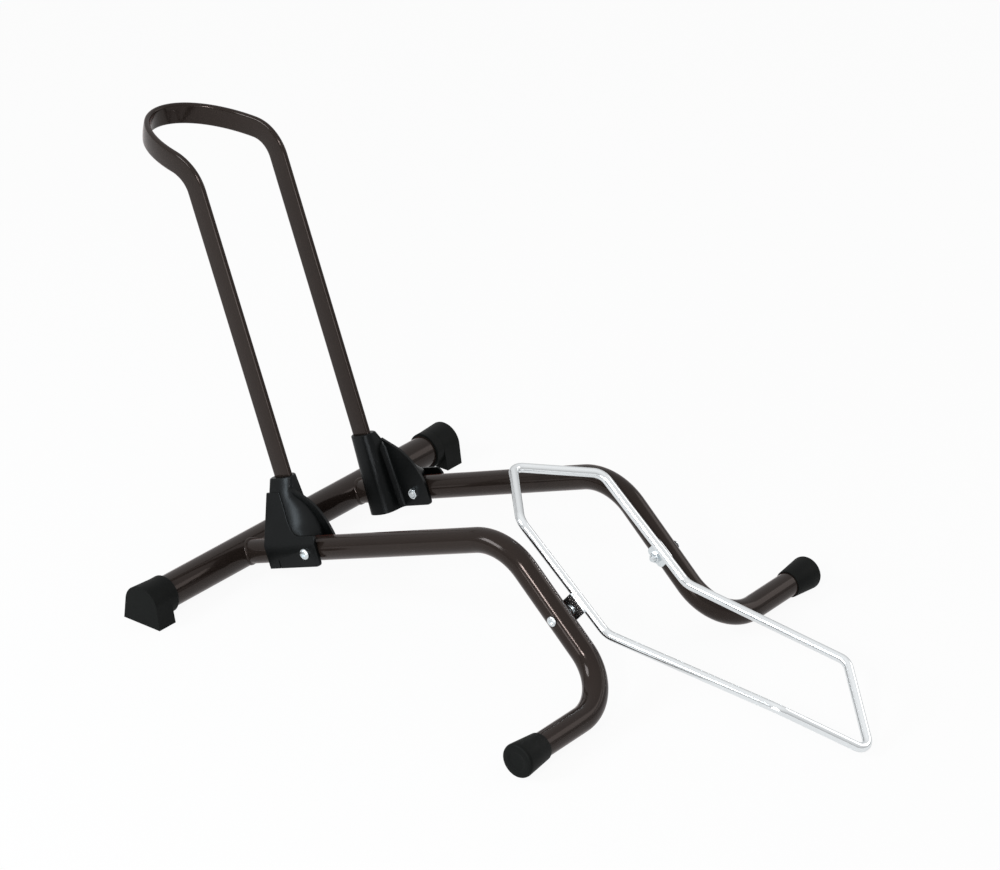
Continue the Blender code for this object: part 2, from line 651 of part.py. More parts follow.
def bracket_mesh(side: float) -> bpy.types.Mesh:
    """Plastic bracket that saddles the side tube, in the tube's own frame about the bolt."""
    far = BRACKET_REAR + BRACKET_WEB_FRONT
    saddle = [(TUBE_Y + CHANNEL_R, -far)]
    saddle += [(TUBE_Y + CHANNEL_R * math.cos(math.pi * i / 12), CHANNEL_R * math.sin(math.pi * i / 12))
               for i in range(13)]
    saddle += [(TUBE_Y - CHANNEL_R, -far)]
    channel = tool(skin([[Vector((x, side * y, z)) for y, z in saddle] for x in (-far, far)]))
    bore_low = BRACKET_SOLE + HOOP_END_ABOVE_SOLE - GAP
    bore_outline = flat_oval(HOOP_WIDTH + 2 * GAP, HOOP_THICKNESS + 2 * GAP)
    bore = tool(skin([[Vector((c.x - HOOP_BEHIND_BOLT, side * HOOP_Y + c.y, z)) for c in bore_outline]
                      for z in (bore_low, BRACKET_COLLAR_HEIGHT + CUT_PAST)]))
    wall_y = PLATE_OUTER_Y - BRACKET_OUTER_WALL
    hook_y = PLATE_OUTER_Y - BRACKET_OUTER_WALL / 2
    tip_y = wall_y - LATCH_HOOK_REACH
    hook_outline = [(hook_y, BRACKET_SOLE), (tip_y, BRACKET_SOLE), (tip_y, BRACKET_SOLE + LATCH_HOOK_EDGE),
                    (wall_y, BRACKET_SOLE + LATCH_HOOK_HEIGHT), (hook_y, BRACKET_SOLE + LATCH_HOOK_HEIGHT)]
    slit_x = -BRACKET_REAR + LATCH_SLIT_FROM_REAR
    hook = tool(skin([[Vector((x, side * y, z)) for y, z in hook_outline]
                      for x in (-BRACKET_REAR + LATCH_HOOK_INSET, slit_x - GAP)]))
    slit = tool(box(slit_x, slit_x + LATCH_SLIT_WIDTH, side * (hook_y - BRACKET_OUTER_WALL),
                    side * (PLATE_OUTER_Y + CUT_PAST), BRACKET_SOLE - CUT_PAST, BRACKET_SOLE + LATCH_SLIT_HEIGHT))
    hole = tool(turned([(-STAND_WIDTH / 2, HOLE_R), (STAND_WIDTH / 2, HOLE_R)], 16))
    return combine(body(side), "bracket", [
        ("UNION", tool(web(side))), ("UNION", tool(outer_wall(side))),
        ("DIFFERENCE", channel), ("UNION", hook),
        ("DIFFERENCE", slit), ("DIFFERENCE", bore), ("DIFFERENCE", hole)])


def arm_direction() -> Vector:
    """Direction of the rocker's long arms, down towards the front."""
    pitch = math.radians(ARM_PITCH)
    return Vector((math.cos(pitch), 0.0, -math.sin(pitch)))


def rocker_corners() -> list:
    """Corner points of the rocker's closed centre line, from its rear apex round the near side."""
    down = arm_direction()
    beside_bolt = PIVOT + Vector((-down.z, 0.0, down.x)) * WIRE_ABOVE_BOLT
    shoulder = beside_bolt - down * SHOULDER_FROM_BOLT
    knee = beside_bolt + down * KNEE_FROM_BOLT
    near = [Vector((shoulder.x, -WIRE_Y, shoulder.z)), Vector((knee.x, -WIRE_Y, knee.z)),
            Vector((knee.x + FRONT_ARM_RUN, -ROCKER_TOE_SPREAD / 2, knee.z - FRONT_ARM_DROP))]
    far = [Vector((p.x, -p.y, p.z)) for p in reversed(near)]
    rear = Vector((shoulder.x - REAR_ARM_RUN, 0.0, shoulder.z + REAR_ARM_RISE))
    low = WIRE_DIAMETER / 2
    front = Vector((near[-1].x + TIP_RUN, 0.0, low))
    radii = rocker_radii()
    for _ in range(12):
        path = fillet_path([rear, *near, front, *far], radii, closed=True)
        tip = [(p, t) for p, t in zip(path, tangents(path)) if p.x > near[-1].x]
        lowest = min(p.z - low * math.sqrt(1.0 - t.z ** 2) for p, t in tip)
        front.z += ROCKER_FLOOR_GAP - lowest
    return [rear, *near, front, *far]


def rocker_radii() -> list:
    """Bend radius at each corner of the rocker's centre line."""
    side = [SHOULDER_RADIUS, KNEE_RADIUS, TOE_RADIUS]
    return [REAR_APEX_RADIUS, *side, FRONT_APEX_RADIUS, *reversed(side)]


def rocker_curve() -> bpy.types.Curve:
    """Closed round wire, with its points measured from the pivot axis."""
    path = fillet_path(rocker_corners(), rocker_radii(), closed=True)
    curve = bpy.data.curves.new("rocker_wire", "CURVE")
    curve.dimensions = "3D"
    curve.bevel_depth = WIRE_DIAMETER / 2
    curve.bevel_resolution = 4
    spline = curve.splines.new("POLY")
    spline.points.add(len(path) - 1)
    for slot, place in zip(spline.points, path):
        slot.co = (*(place - PIVOT), 1.0)
    spline.use_cyclic_u = True
    spline.use_smooth = True
    return curve


def tab_mesh() -> bpy.types.Mesh:
    """Pivot plate beside the rocker's arm, drilled for the bolt, centred on the pivot."""
    half = TAB_LENGTH / 2
    top = WIRE_ABOVE_BOLT + TAB_BESIDE_WIRE
    bottom = -TAB_BELOW_BOLT
    r = TAB_CORNER_RADIUS
    outline = [(half, top), (-half, top)]
    outline += [(-half + r - r * math.cos(math.radians(a)), bottom + r - r * math.sin(math.radians(a)))
                for a in (0, 30, 60, 90)]
    outline += [(half - r + r * math.sin(math.radians(a)), bottom + r - r * math.cos(math.radians(a)))
                for a in (0, 30, 60, 90)]
    plate = slab(outline, -TAB_THICKNESS / 2, TAB_THICKNESS / 2)
    return combine(plate, "pivot_tab", [("DIFFERENCE", tool(turned([(-CUT_PAST, HOLE_R), (CUT_PAST, HOLE_R)])))])


def bolt_mesh(name: str, head_diameter: float, head_height: float, reach: float) -> bpy.types.Mesh:
    """Bolt with a low dome head at +Y, its shank reaching from y = 0 to -reach."""
    r = head_diameter / 2
    shank = BOLT_DIAMETER / 2
    profile = [(-reach, shank - BOLT_END_CHAMFER), (-reach + BOLT_END_CHAMFER, shank), (0.0, shank), (0.0, r),
               (head_height * 0.3, r), (head_height * 0.62, r * 0.88), (head_height * 0.88, r * 0.62),
               (head_height, r * 0.3)]
    return mesh_from(turned(profile, 20), name)


def nut_mesh() -> bpy.types.Mesh:
    """Hexagon nut with its outer face at y = 0 and its body towards -Y."""
    corner = NUT_WIDTH / 2 / math.cos(math.radians(30.0))
    hexagon = turned([(-NUT_HEIGHT, corner * 0.94), (-NUT_HEIGHT * 0.88, corner), (0.0, corner)], 6)
    bore = tool(turned([(-NUT_HEIGHT - CUT_PAST, HOLE_R), (CUT_PAST, HOLE_R)]))
    return combine(hexagon, "nut", [("DIFFERENCE", bore)])


def washer_mesh() -> bpy.types.Mesh:
    """Flat washer with its inner face at y = 0."""
    steps = ROUND_STEPS
    rings = [[Vector((c.x, y, -c.y)) for c in circle(r, steps)]
             for y, r in ((0.0, WASHER_DIAMETER / 2), (WASHER_THICKNESS, WASHER_DIAMETER / 2))]
    bore = [[Vector((c.x, y, -c.y)) for c in circle(HOLE_R, steps)] for y in (0.0, WASHER_THICKNESS)]
    return mesh_from(skin(rings, bore), "washer")


def middle_of_length() -> float:
    """X of the middle of the whole length, from the arch's back to the rocker's front."""
    path, _ = hoop_path()
    back = min(p.x for p in path)
    pitch = math.radians(ARCH_PITCH)
    r = HOOP_THICKNESS / 2 - HOOP_CROWN
    reach = (HOOP_WIDTH / 2 - r) * math.sin(pitch) + r * math.cos(pitch)
    front = max(p.x for p in fillet_path(rocker_corners(), rocker_radii(), closed=True))
    return (back - reach + front + WIRE_DIAMETER / 2) / 2


def build() -> None:
    """Model every piece of the stand."""
    clear_scene()
    paint = material("brown_black_paint", (0.022, 0.019, 0.018), 0.22, 0.0)
    plastic = material("black_plastic", (0.012, 0.013, 0.014), 0.34, 0.0)
    rubber = material("black_rubber", (0.020, 0.021, 0.021), 0.62, 0.0)
    chrome = material("bright_wire", (0.80, 0.82, 0.83), 0.12, 1.0)
    zinc = material("zinc_plate", (0.72, 0.74, 0.76), 0.30, 1.0)

    stand = add_object("stand", None, None, (-middle_of_length(), 0.0, 0.0))
    add_object("crossbar", crossbar_mesh(), paint, (0.0, 0.0, CROSSBAR_Z), parent=stand)
    add_object("hoop", hoop_mesh(), paint, parent=stand)
    pivot = add_object("rocker_axis", None, None, PIVOT, parent=stand)
    add_object("rocker_wire", rocker_curve(), chrome, parent=pivot)

    foot = foot_mesh()
    cap = cap_mesh()
    tab = tab_mesh()
    nut = nut_mesh()
    washer = washer_mesh()
    nut_face = WEB_INNER_Y - GAP
    bracket_head = PLATE_OUTER_Y + GAP
    bracket_bolt = bolt_mesh("bracket_bolt", BRACKET_HEAD_DIAMETER, BRACKET_HEAD_HEIGHT,
                             bracket_head - nut_face + NUT_HEIGHT + BOLT_PAST_NUT)
    pivot_face = TAB_INNER_Y - GAP
    pivot_head = TUBE_Y + TUBE_R + GAP
    pivot_bolt = bolt_mesh("pivot_bolt", PIVOT_HEAD_DIAMETER, PIVOT_HEAD_HEIGHT,
                           pivot_head - pivot_face + NUT_HEIGHT + PIVOT_BOLT_PAST_NUT)

    for label, side in SIDES:
        turn = (0.0, 0.0, 0.0) if side > 0 else (0.0, 0.0, math.pi)
        at_bolt = (BRACKET_BOLT.x, side * nut_face, BRACKET_BOLT.z)
        at_pivot = (PIVOT.x, side * pivot_face, PIVOT.z)
        add_object("side_tube_" + label, side_tube_mesh(side), paint, parent=stand)
        add_object("rear_foot_" + label, foot, rubber, (0.0, 0.0, CROSSBAR_Z), turn, stand)
        add_object("front_cap_" + label, cap, rubber, (TUBE_FRONT_X, 0.0, TUBE_FRONT_Z), turn, stand)
        add_object("hoop_bracket_" + label, bracket_mesh(side), plastic, BRACKET_BOLT, (0.0, -RISE, 0.0), stand)
        add_object("bracket_bolt_" + label, bracket_bolt, zinc, (BRACKET_BOLT.x, side * bracket_head, BRACKET_BOLT.z),
                   turn, stand)
        add_object("bracket_nut_" + label, nut, zinc, at_bolt, turn, stand)
        add_object("pivot_bolt_" + label, pivot_bolt, zinc, (PIVOT.x, side * pivot_head, PIVOT.z), turn, stand)
        add_object("pivot_nut_" + label, nut, zinc, at_pivot, turn, stand)
        add_object("pivot_washer_" + label, washer, zinc, (PIVOT.x, side * WASHER_INNER_Y, PIVOT.z), turn, stand)
        add_object("pivot_tab_" + label, tab, zinc, (0.0, side * (TAB_INNER_Y + TAB_THICKNESS / 2), 0.0),
                   (0.0, math.radians(ARM_PITCH), 0.0), pivot)
    bpy.context.view_layer.update()


build()
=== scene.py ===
"""Dresses the bicycle wheel stand: fine pieces over its frame, finishes, studio and camera.

Lengths are in metres. +X is the side where the wheel rolls in, Z = 0 is the
floor, and the pieces on the -Y side are called near.
"""

import json
import logging
import math
from dataclasses import dataclass, field
from enum import Enum

import bmesh
import bpy
from mathutils import Matrix, Vector

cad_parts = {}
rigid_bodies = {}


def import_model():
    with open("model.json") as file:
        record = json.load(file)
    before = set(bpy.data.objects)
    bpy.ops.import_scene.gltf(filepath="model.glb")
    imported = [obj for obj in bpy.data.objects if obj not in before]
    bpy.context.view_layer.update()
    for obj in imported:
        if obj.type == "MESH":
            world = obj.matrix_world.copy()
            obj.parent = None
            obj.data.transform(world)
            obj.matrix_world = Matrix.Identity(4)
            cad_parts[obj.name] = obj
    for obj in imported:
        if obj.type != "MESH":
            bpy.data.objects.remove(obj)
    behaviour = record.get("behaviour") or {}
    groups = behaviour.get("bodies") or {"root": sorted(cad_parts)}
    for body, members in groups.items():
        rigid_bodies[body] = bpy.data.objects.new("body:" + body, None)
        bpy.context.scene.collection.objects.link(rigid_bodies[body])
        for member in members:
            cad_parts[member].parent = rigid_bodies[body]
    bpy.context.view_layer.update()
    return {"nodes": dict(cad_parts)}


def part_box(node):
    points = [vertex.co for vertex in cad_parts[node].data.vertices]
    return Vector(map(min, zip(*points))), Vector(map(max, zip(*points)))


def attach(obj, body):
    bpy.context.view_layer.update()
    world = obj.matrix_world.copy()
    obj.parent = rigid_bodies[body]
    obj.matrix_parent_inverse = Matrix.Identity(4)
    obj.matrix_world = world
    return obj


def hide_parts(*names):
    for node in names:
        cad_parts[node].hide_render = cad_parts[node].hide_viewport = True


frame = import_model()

LOG = logging.getLogger("wheel_stand")
Piece = bpy.types.Object


class Side(Enum):
    """The two halves of the stand, with the sign of Y on each."""

    NEAR = -1.0
    FAR = 1.0

    @property
    def label(self) -> str:
        """The word that ends the names of this side's pieces."""
        return self.name.lower()


class Body(Enum):
    """The rigid bodies that the pieces ride on."""

    FRAME = "frame"
    ROCKER = "rocker"


class Slot(Enum):
    """The record's material slots."""

    PAINT = "painted_tube"
    PLASTIC = "bracket_plastic"
    RUBBER = "rubber_end"
    WIRE = "bright_wire"
    ZINC = "zinc_hardware"


# ---- Shader groups -------------------------------------------------------------


def grey(tone: float) -> tuple:
    """An opaque grey of one tone."""
    return (tone, tone, tone, 1.0)


class Graph:
    """A node tree, with a short way to add a node and feed its inputs."""

    def __init__(self, tree: bpy.types.NodeTree) -> None:
        """Take over the tree of a group, a material or the world."""
        self.nodes, self.links = tree.nodes, tree.links

    def feed(self, node: bpy.types.Node, inputs: dict) -> bpy.types.Node:
        """Put links and constants on a node's inputs.

        Args:
            node: The node.
            inputs: For each input's name or number, the socket that feeds it or its constant.

        Returns:
            The same node.
        """
        for key, value in inputs.items():
            if isinstance(value, bpy.types.NodeSocket):
                self.links.new(value, node.inputs[key])
            else:
                node.inputs[key].default_value = value
        return node

    def add(self, kind: str, inputs: dict, **settings: object) -> bpy.types.Node:
        """Add one node.

        Args:
            kind: Its type.
            inputs: What feeds its inputs.
            **settings: Its other values.

        Returns:
            The node.
        """
        node = self.nodes.new(kind)
        for key, value in settings.items():
            setattr(node, key, value)
        return self.feed(node, inputs)


class EffectGroups:
    """Node groups for the surface effects that several finishes share."""

    def __init__(self) -> None:
        """Build every group once."""
        self.grain = self._grain()
        self.handling = self._handling()

    @staticmethod
    def _new(name: str, inputs: dict, outputs: tuple) -> tuple:
        """Start a group with named sockets.

        Args:
            name: The group's name.
            inputs: Default value of each input by name.
            outputs: Names of the value outputs.

        Returns:
            The group, its graph, the sockets that bring its inputs, and its output node.
        """
        group = bpy.data.node_groups.new(name, "ShaderNodeTree")
        for label, value in inputs.items():
            socket = group.interface.new_socket(label, in_out="INPUT",
                                                socket_type="NodeSocketFloat")
            socket.default_value = value
        for label in outputs:
            group.interface.new_socket(label, in_out="OUTPUT", socket_type="NodeSocketFloat")
        graph = Graph(group)
        source, sink = graph.add("NodeGroupInput", {}), graph.add("NodeGroupOutput", {})
        return group, graph, source.outputs, sink

    def _grain(self) -> bpy.types.NodeTree:
        """Fine surface grain: a height for bumps and a slow tone that drifts over the piece.

        Returns:
            The finished group.
        """
        group, graph, given, sink = self._new(
            "surface_grain", {"Grain Scale": 900.0, "Drift Scale": 18.0}, ("Height", "Tone"))
        place = graph.add("ShaderNodeTexCoord", {}).outputs["Object"]
        fine = graph.add("ShaderNodeTexNoise", {
            "Vector": place, "Scale": given["Grain Scale"], "Detail": 3.0, "Roughness": 0.6})
        slow = graph.add("ShaderNodeTexNoise", {
            "Vector": place, "Scale": given["Drift Scale"], "Detail": 4.0, "Roughness": 0.55})
        graph.feed(sink, {"Height": fine.outputs["Fac"], "Tone": slow.outputs["Fac"]})
        return group

    def _handling(self) -> bpy.types.NodeTree:
        """Faint smears and hairline scratches left by handling.

        Returns:
            The finished group.
        """
        group, graph, given, sink = self._new(
            "handling_marks", {"Smear Scale": 24.0, "Scratch Scale": 160.0}, ("Smear", "Scratch"))
        place = graph.add("ShaderNodeTexCoord", {}).outputs["Object"]
        smear = graph.add("ShaderNodeTexNoise", {
            "Vector": place, "Scale": given["Smear Scale"], "Detail": 5.0, "Distortion": 0.8})
        hairs = graph.add("ShaderNodeMapping", {
            "Vector": place, "Rotation": (0.4, 0.9, 0.2), "Scale": (1.0, 0.06, 0.35)})
        scratch = graph.add("ShaderNodeTexNoise", {
            "Vector": hairs.outputs["Vector"], "Scale": given["Scratch Scale"], "Detail": 2.0})
        thin = graph.add("ShaderNodeMapRange", {
            "Value": scratch.outputs["Fac"], "From Min": 0.62, "From Max": 0.70})
        graph.feed(sink, {"Smear": smear.outputs["Fac"], "Scratch": thin.outputs["Result"]})
        return group


# ---- Finishes ------------------------------------------------------------------


@dataclass(frozen=True)
class Finish:
    """One surface finish, from its two tones to its grain and sheen."""

    name: str
    slot: Slot
    tone: tuple
    tone_drift: tuple
    roughness: float
    roughness_spread: float
    metallic: float = 0.0
    specular: float = 0.5
    specular_tint: tuple = (1.0, 1.0, 1.0)
    sheen: float = 0.0
    sheen_tint: tuple = (1.0, 1.0, 1.0)
    sheen_roughness: float = 0.3
    grain_scale: float = 900.0
    drift_scale: float = 18.0
    bump: float = 0.05
    bump_depth: float = 0.0002
    scratch: float = 0.0
    smear_low: float = 0.3
    smear_high: float = 0.7

    def material(self, groups: EffectGroups) -> bpy.types.Material:
        """Build the finish's material.

        Args:
            groups: The shared effect groups.

        Returns:
            A node material.
        """
        made = bpy.data.materials.new(self.name)
        made.use_nodes = True
        graph = Graph(made.node_tree)
        grain = graph.add("ShaderNodeGroup", {
            "Grain Scale": self.grain_scale, "Drift Scale": self.drift_scale,
        }, node_tree=groups.grain).outputs
        marks = graph.add("ShaderNodeGroup", {}, node_tree=groups.handling).outputs
        tones = graph.add("ShaderNodeMix", {
            "Factor": grain["Tone"], "A": (*self.tone, 1.0), "B": (*self.tone_drift, 1.0),
        }, data_type="RGBA")
        rough = graph.add("ShaderNodeMapRange", {
            "Value": marks["Smear"], "From Min": self.smear_low, "From Max": self.smear_high,
            "To Min": self.roughness - self.roughness_spread,
            "To Max": self.roughness + self.roughness_spread})
        scratched = graph.add("ShaderNodeMath", {
            0: marks["Scratch"], 1: self.scratch, 2: rough.outputs["Result"],
        }, operation="MULTIPLY_ADD")
        bump = graph.add("ShaderNodeBump", {
            "Strength": self.bump, "Distance": self.bump_depth, "Height": grain["Height"]})
        graph.feed(graph.nodes["Principled BSDF"], {
            "Base Color": tones.outputs["Result"],
            "Metallic": self.metallic,
            "Roughness": scratched.outputs["Value"],
            "Specular IOR Level": self.specular,
            "Specular Tint": (*self.specular_tint, 1.0),
            "Sheen Weight": self.sheen,
            "Sheen Roughness": self.sheen_roughness,
            "Sheen Tint": (*self.sheen_tint, 1.0),
            "Normal": bump.outputs["Normal"],
        })
        return made


PAINT = Finish(
    "brown_black_gloss_paint", Slot.PAINT,
    tone=(0.0134, 0.0102, 0.0086), tone_drift=(0.0166, 0.0118, 0.0098),
    roughness=0.14, roughness_spread=0.02, specular=0.24, specular_tint=(1.0, 0.84, 0.79),
    sheen=0.09, sheen_tint=(0.80, 0.16, 0.10),
    grain_scale=90.0, drift_scale=14.0, bump=0.004, scratch=0.03)
PLASTIC = Finish(
    "satin_black_plastic", Slot.PLASTIC,
    tone=(0.0014, 0.0017, 0.0016), tone_drift=(0.0024, 0.0027, 0.0026),
    roughness=0.34, roughness_spread=0.03, specular=0.19, specular_tint=(0.92, 0.96, 1.0),
    grain_scale=2600.0, drift_scale=22.0, bump=0.03, scratch=0.03)
RUBBER = Finish(
    "matt_black_rubber", Slot.RUBBER,
    tone=(0.0026, 0.0032, 0.0029), tone_drift=(0.0046, 0.0053, 0.0049),
    roughness=0.55, roughness_spread=0.05, specular=0.10,
    grain_scale=2200.0, drift_scale=30.0, bump=0.08)
CHROME = Finish(
    "bright_chrome_wire", Slot.WIRE,
    tone=(0.85, 0.875, 0.89), tone_drift=(0.80, 0.825, 0.84),
    roughness=0.13, roughness_spread=0.012, metallic=1.0, drift_scale=12.0, bump=0.0)
ZINC = Finish(
    "zinc_plated_steel", Slot.ZINC,
    tone=(0.78, 0.82, 0.84), tone_drift=(0.68, 0.72, 0.74),
    roughness=0.26, roughness_spread=0.04, metallic=1.0,
    grain_scale=1500.0, drift_scale=120.0, bump=0.02, scratch=0.04)


class FinishRoom:
    """Holds one material for each finish and puts it on finished pieces."""

    def __init__(self) -> None:
        """Start with the shared effect groups and no materials."""
        self.groups = EffectGroups()
        self.made: dict = {}

    def dress(self, piece: Piece, finish: Finish, body: Body) -> None:
        """Put a finish on a piece and let it ride on its body.

        Args:
            piece: The finished piece.
            finish: What its surface is.
            body: The rigid body that it moves with.
        """
        if finish.name not in self.made:
            self.made[finish.name] = finish.material(self.groups)
        piece.data.materials.clear()
        piece.data.materials.append(self.made[finish.name])
        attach(piece, body.value)
        LOG.info("%s: %d faces in %s", piece.name, len(piece.data.polygons), finish.name)


# ---- Modelling -----------------------------------------------------------------

SAME_POINT = 0.000002
FLAT_ANGLE = 0.6


class Workbench:
    """Modelling moves that the sub-assemblies share."""

    @staticmethod
    def clear() -> None:
        """Leave edit mode and deselect everything."""
        if bpy.context.object is not None and bpy.context.object.mode != "OBJECT":
            bpy.ops.object.mode_set(mode="OBJECT")
        bpy.ops.object.select_all(action="DESELECT")

    @staticmethod
    def take(piece: Piece) -> None:
        """Select one piece alone and make it active.

        Args:
            piece: The piece to work on.
        """
        Workbench.clear()
        piece.select_set(True)
        bpy.context.view_layer.objects.active = piece

    @staticmethod
    def edit() -> None:
        """Enter edit mode on the active piece, with all of its mesh selected."""
        bpy.ops.object.mode_set(mode="EDIT")
        bpy.ops.mesh.select_mode(type="VERT")
        bpy.ops.mesh.select_all(action="SELECT")

    @staticmethod
    def named(name: str) -> Piece:
        """Name the active piece and its mesh.

        Args:
            name: The name.

        Returns:
            The active piece.
        """
        piece = bpy.context.object
        piece.name = piece.data.name = name
        return piece

    @staticmethod
    def settle(piece: Piece, angle: float) -> Piece:
        """Leave edit mode, apply the piece's place and shade it smooth.

        Args:
            piece: The piece to finish.
            angle: Edges sharper than this stay crisp, in degrees.

        Returns:
            The same piece.
        """
        Workbench.take(piece)
        bpy.ops.object.transform_apply(location=True, rotation=True, scale=True)
        bpy.ops.object.shade_smooth_by_angle(angle=math.radians(angle))
        return piece

    @staticmethod
    def close(piece: Piece, angle: float) -> Piece:
        """Close the open ends of the piece in edit mode, turn its faces out and shade it.

        Args:
            piece: The piece in edit mode.
            angle: Edges sharper than this stay crisp, in degrees.

        Returns:
            The same piece.
        """
        bpy.ops.mesh.select_all(action="DESELECT")
        mesh = bmesh.from_edit_mesh(piece.data)
        mesh.edges.index_update()
        mesh.edges.ensure_lookup_table()
        left = {edge.index for edge in mesh.edges if edge.is_boundary}
        loops = []
        while left:
            loop, grown = set(), {min(left)}
            while grown:
                loop |= grown
                left -= grown
                grown = {edge.index for index in grown for vert in mesh.edges[index].verts
                         for edge in vert.link_edges} & left
            loops.append(loop)
        for loop in loops:
            mesh = bmesh.from_edit_mesh(piece.data)
            mesh.edges.ensure_lookup_table()
            for index in loop:
                mesh.edges[index].select_set(True)
            bmesh.update_edit_mesh(piece.data)
            bpy.ops.mesh.edge_face_add()
            bpy.ops.mesh.select_all(action="DESELECT")
        bpy.ops.mesh.select_all(action="SELECT")
        bpy.ops.mesh.normals_make_consistent(inside=False)
        return Workbench.settle(piece, angle)

    @staticmethod
    def join(piece: Piece, other: Piece, operation: str) -> None:
        """Unite a piece with another, cut the other out of it, or keep what both share.

        Args:
            piece: The piece to change.
            other: The shape that is used up.
            operation: UNION, DIFFERENCE or INTERSECT.
        """
        Workbench.modify(piece, "BOOLEAN", operation=operation, object=other, solver="EXACT")
        Workbench.take(other)
        bpy.ops.object.delete()

    @staticmethod
    def modify(piece: Piece, kind: str, **settings: object) -> None:
        """Add one modifier and apply it.

        Args:
            piece: The piece to change.
            kind: The modifier's type.
            **settings: Its values.
        """
        Workbench.take(piece)
        modifier = piece.modifiers.new(kind.lower(), kind)
        for key, value in settings.items():
            setattr(modifier, key, value)
        bpy.ops.object.modifier_apply(modifier=modifier.name)

    @staticmethod
    def soften(piece: Piece, width: float, segments: int, angle: float) -> None:
        """Round a piece's edges.

        Args:
            piece: The piece to change.
            width: How far from an edge its rounding starts.
            segments: How many steps the rounding has.
            angle: Edges blunter than this stay as they are, in degrees.
        """
        Workbench.modify(piece, "BEVEL", width=width, segments=segments, limit_method="ANGLE",
                         angle_limit=math.radians(angle))

    @staticmethod
    def copied(piece: Piece, name: str) -> Piece:
        """Copy a piece, with a mesh of its own.

        Args:
            piece: The piece to copy.
            name: The copy's name.

        Returns:
            The copy, selected alone.
        """
        Workbench.take(piece)
        bpy.ops.object.duplicate(linked=False)
        return Workbench.named(name)

    @staticmethod
    def mirrored(piece: Piece, name: str) -> Piece:
        """Copy a piece to the other side of the middle plane.

        Args:
            piece: The piece to copy.
            name: The copy's name.

        Returns:
            The copy, with its faces pointing out.
        """
        copy = Workbench.copied(piece, name)
        Workbench.edit()
        bpy.ops.transform.resize(value=(1.0, -1.0, 1.0), center_override=(0.0, 0.0, 0.0))
        bpy.ops.mesh.flip_normals()
        Workbench.clear()
        return copy

    @staticmethod
    def from_frame(node: str, name: str) -> Piece:
        """Copy a frame node's solid as a start for a finer piece.

        Args:
            node: The frame node.
            name: The new piece's name.

        Returns:
            The copy, with its loose triangles merged into clean faces.
        """
        copy = Workbench.copied(frame["nodes"][node], name)
        for key in list(copy.keys()):
            del copy[key]
        bpy.ops.object.parent_clear(type="CLEAR_KEEP_TRANSFORM")
        bpy.ops.object.transform_apply(location=True, rotation=True, scale=True)
        Workbench.edit()
        bpy.ops.mesh.remove_doubles(threshold=SAME_POINT)
        bpy.ops.mesh.normals_make_consistent(inside=False)
        bpy.ops.mesh.dissolve_limited(angle_limit=math.radians(FLAT_ANGLE))
        Workbench.clear()
        return copy


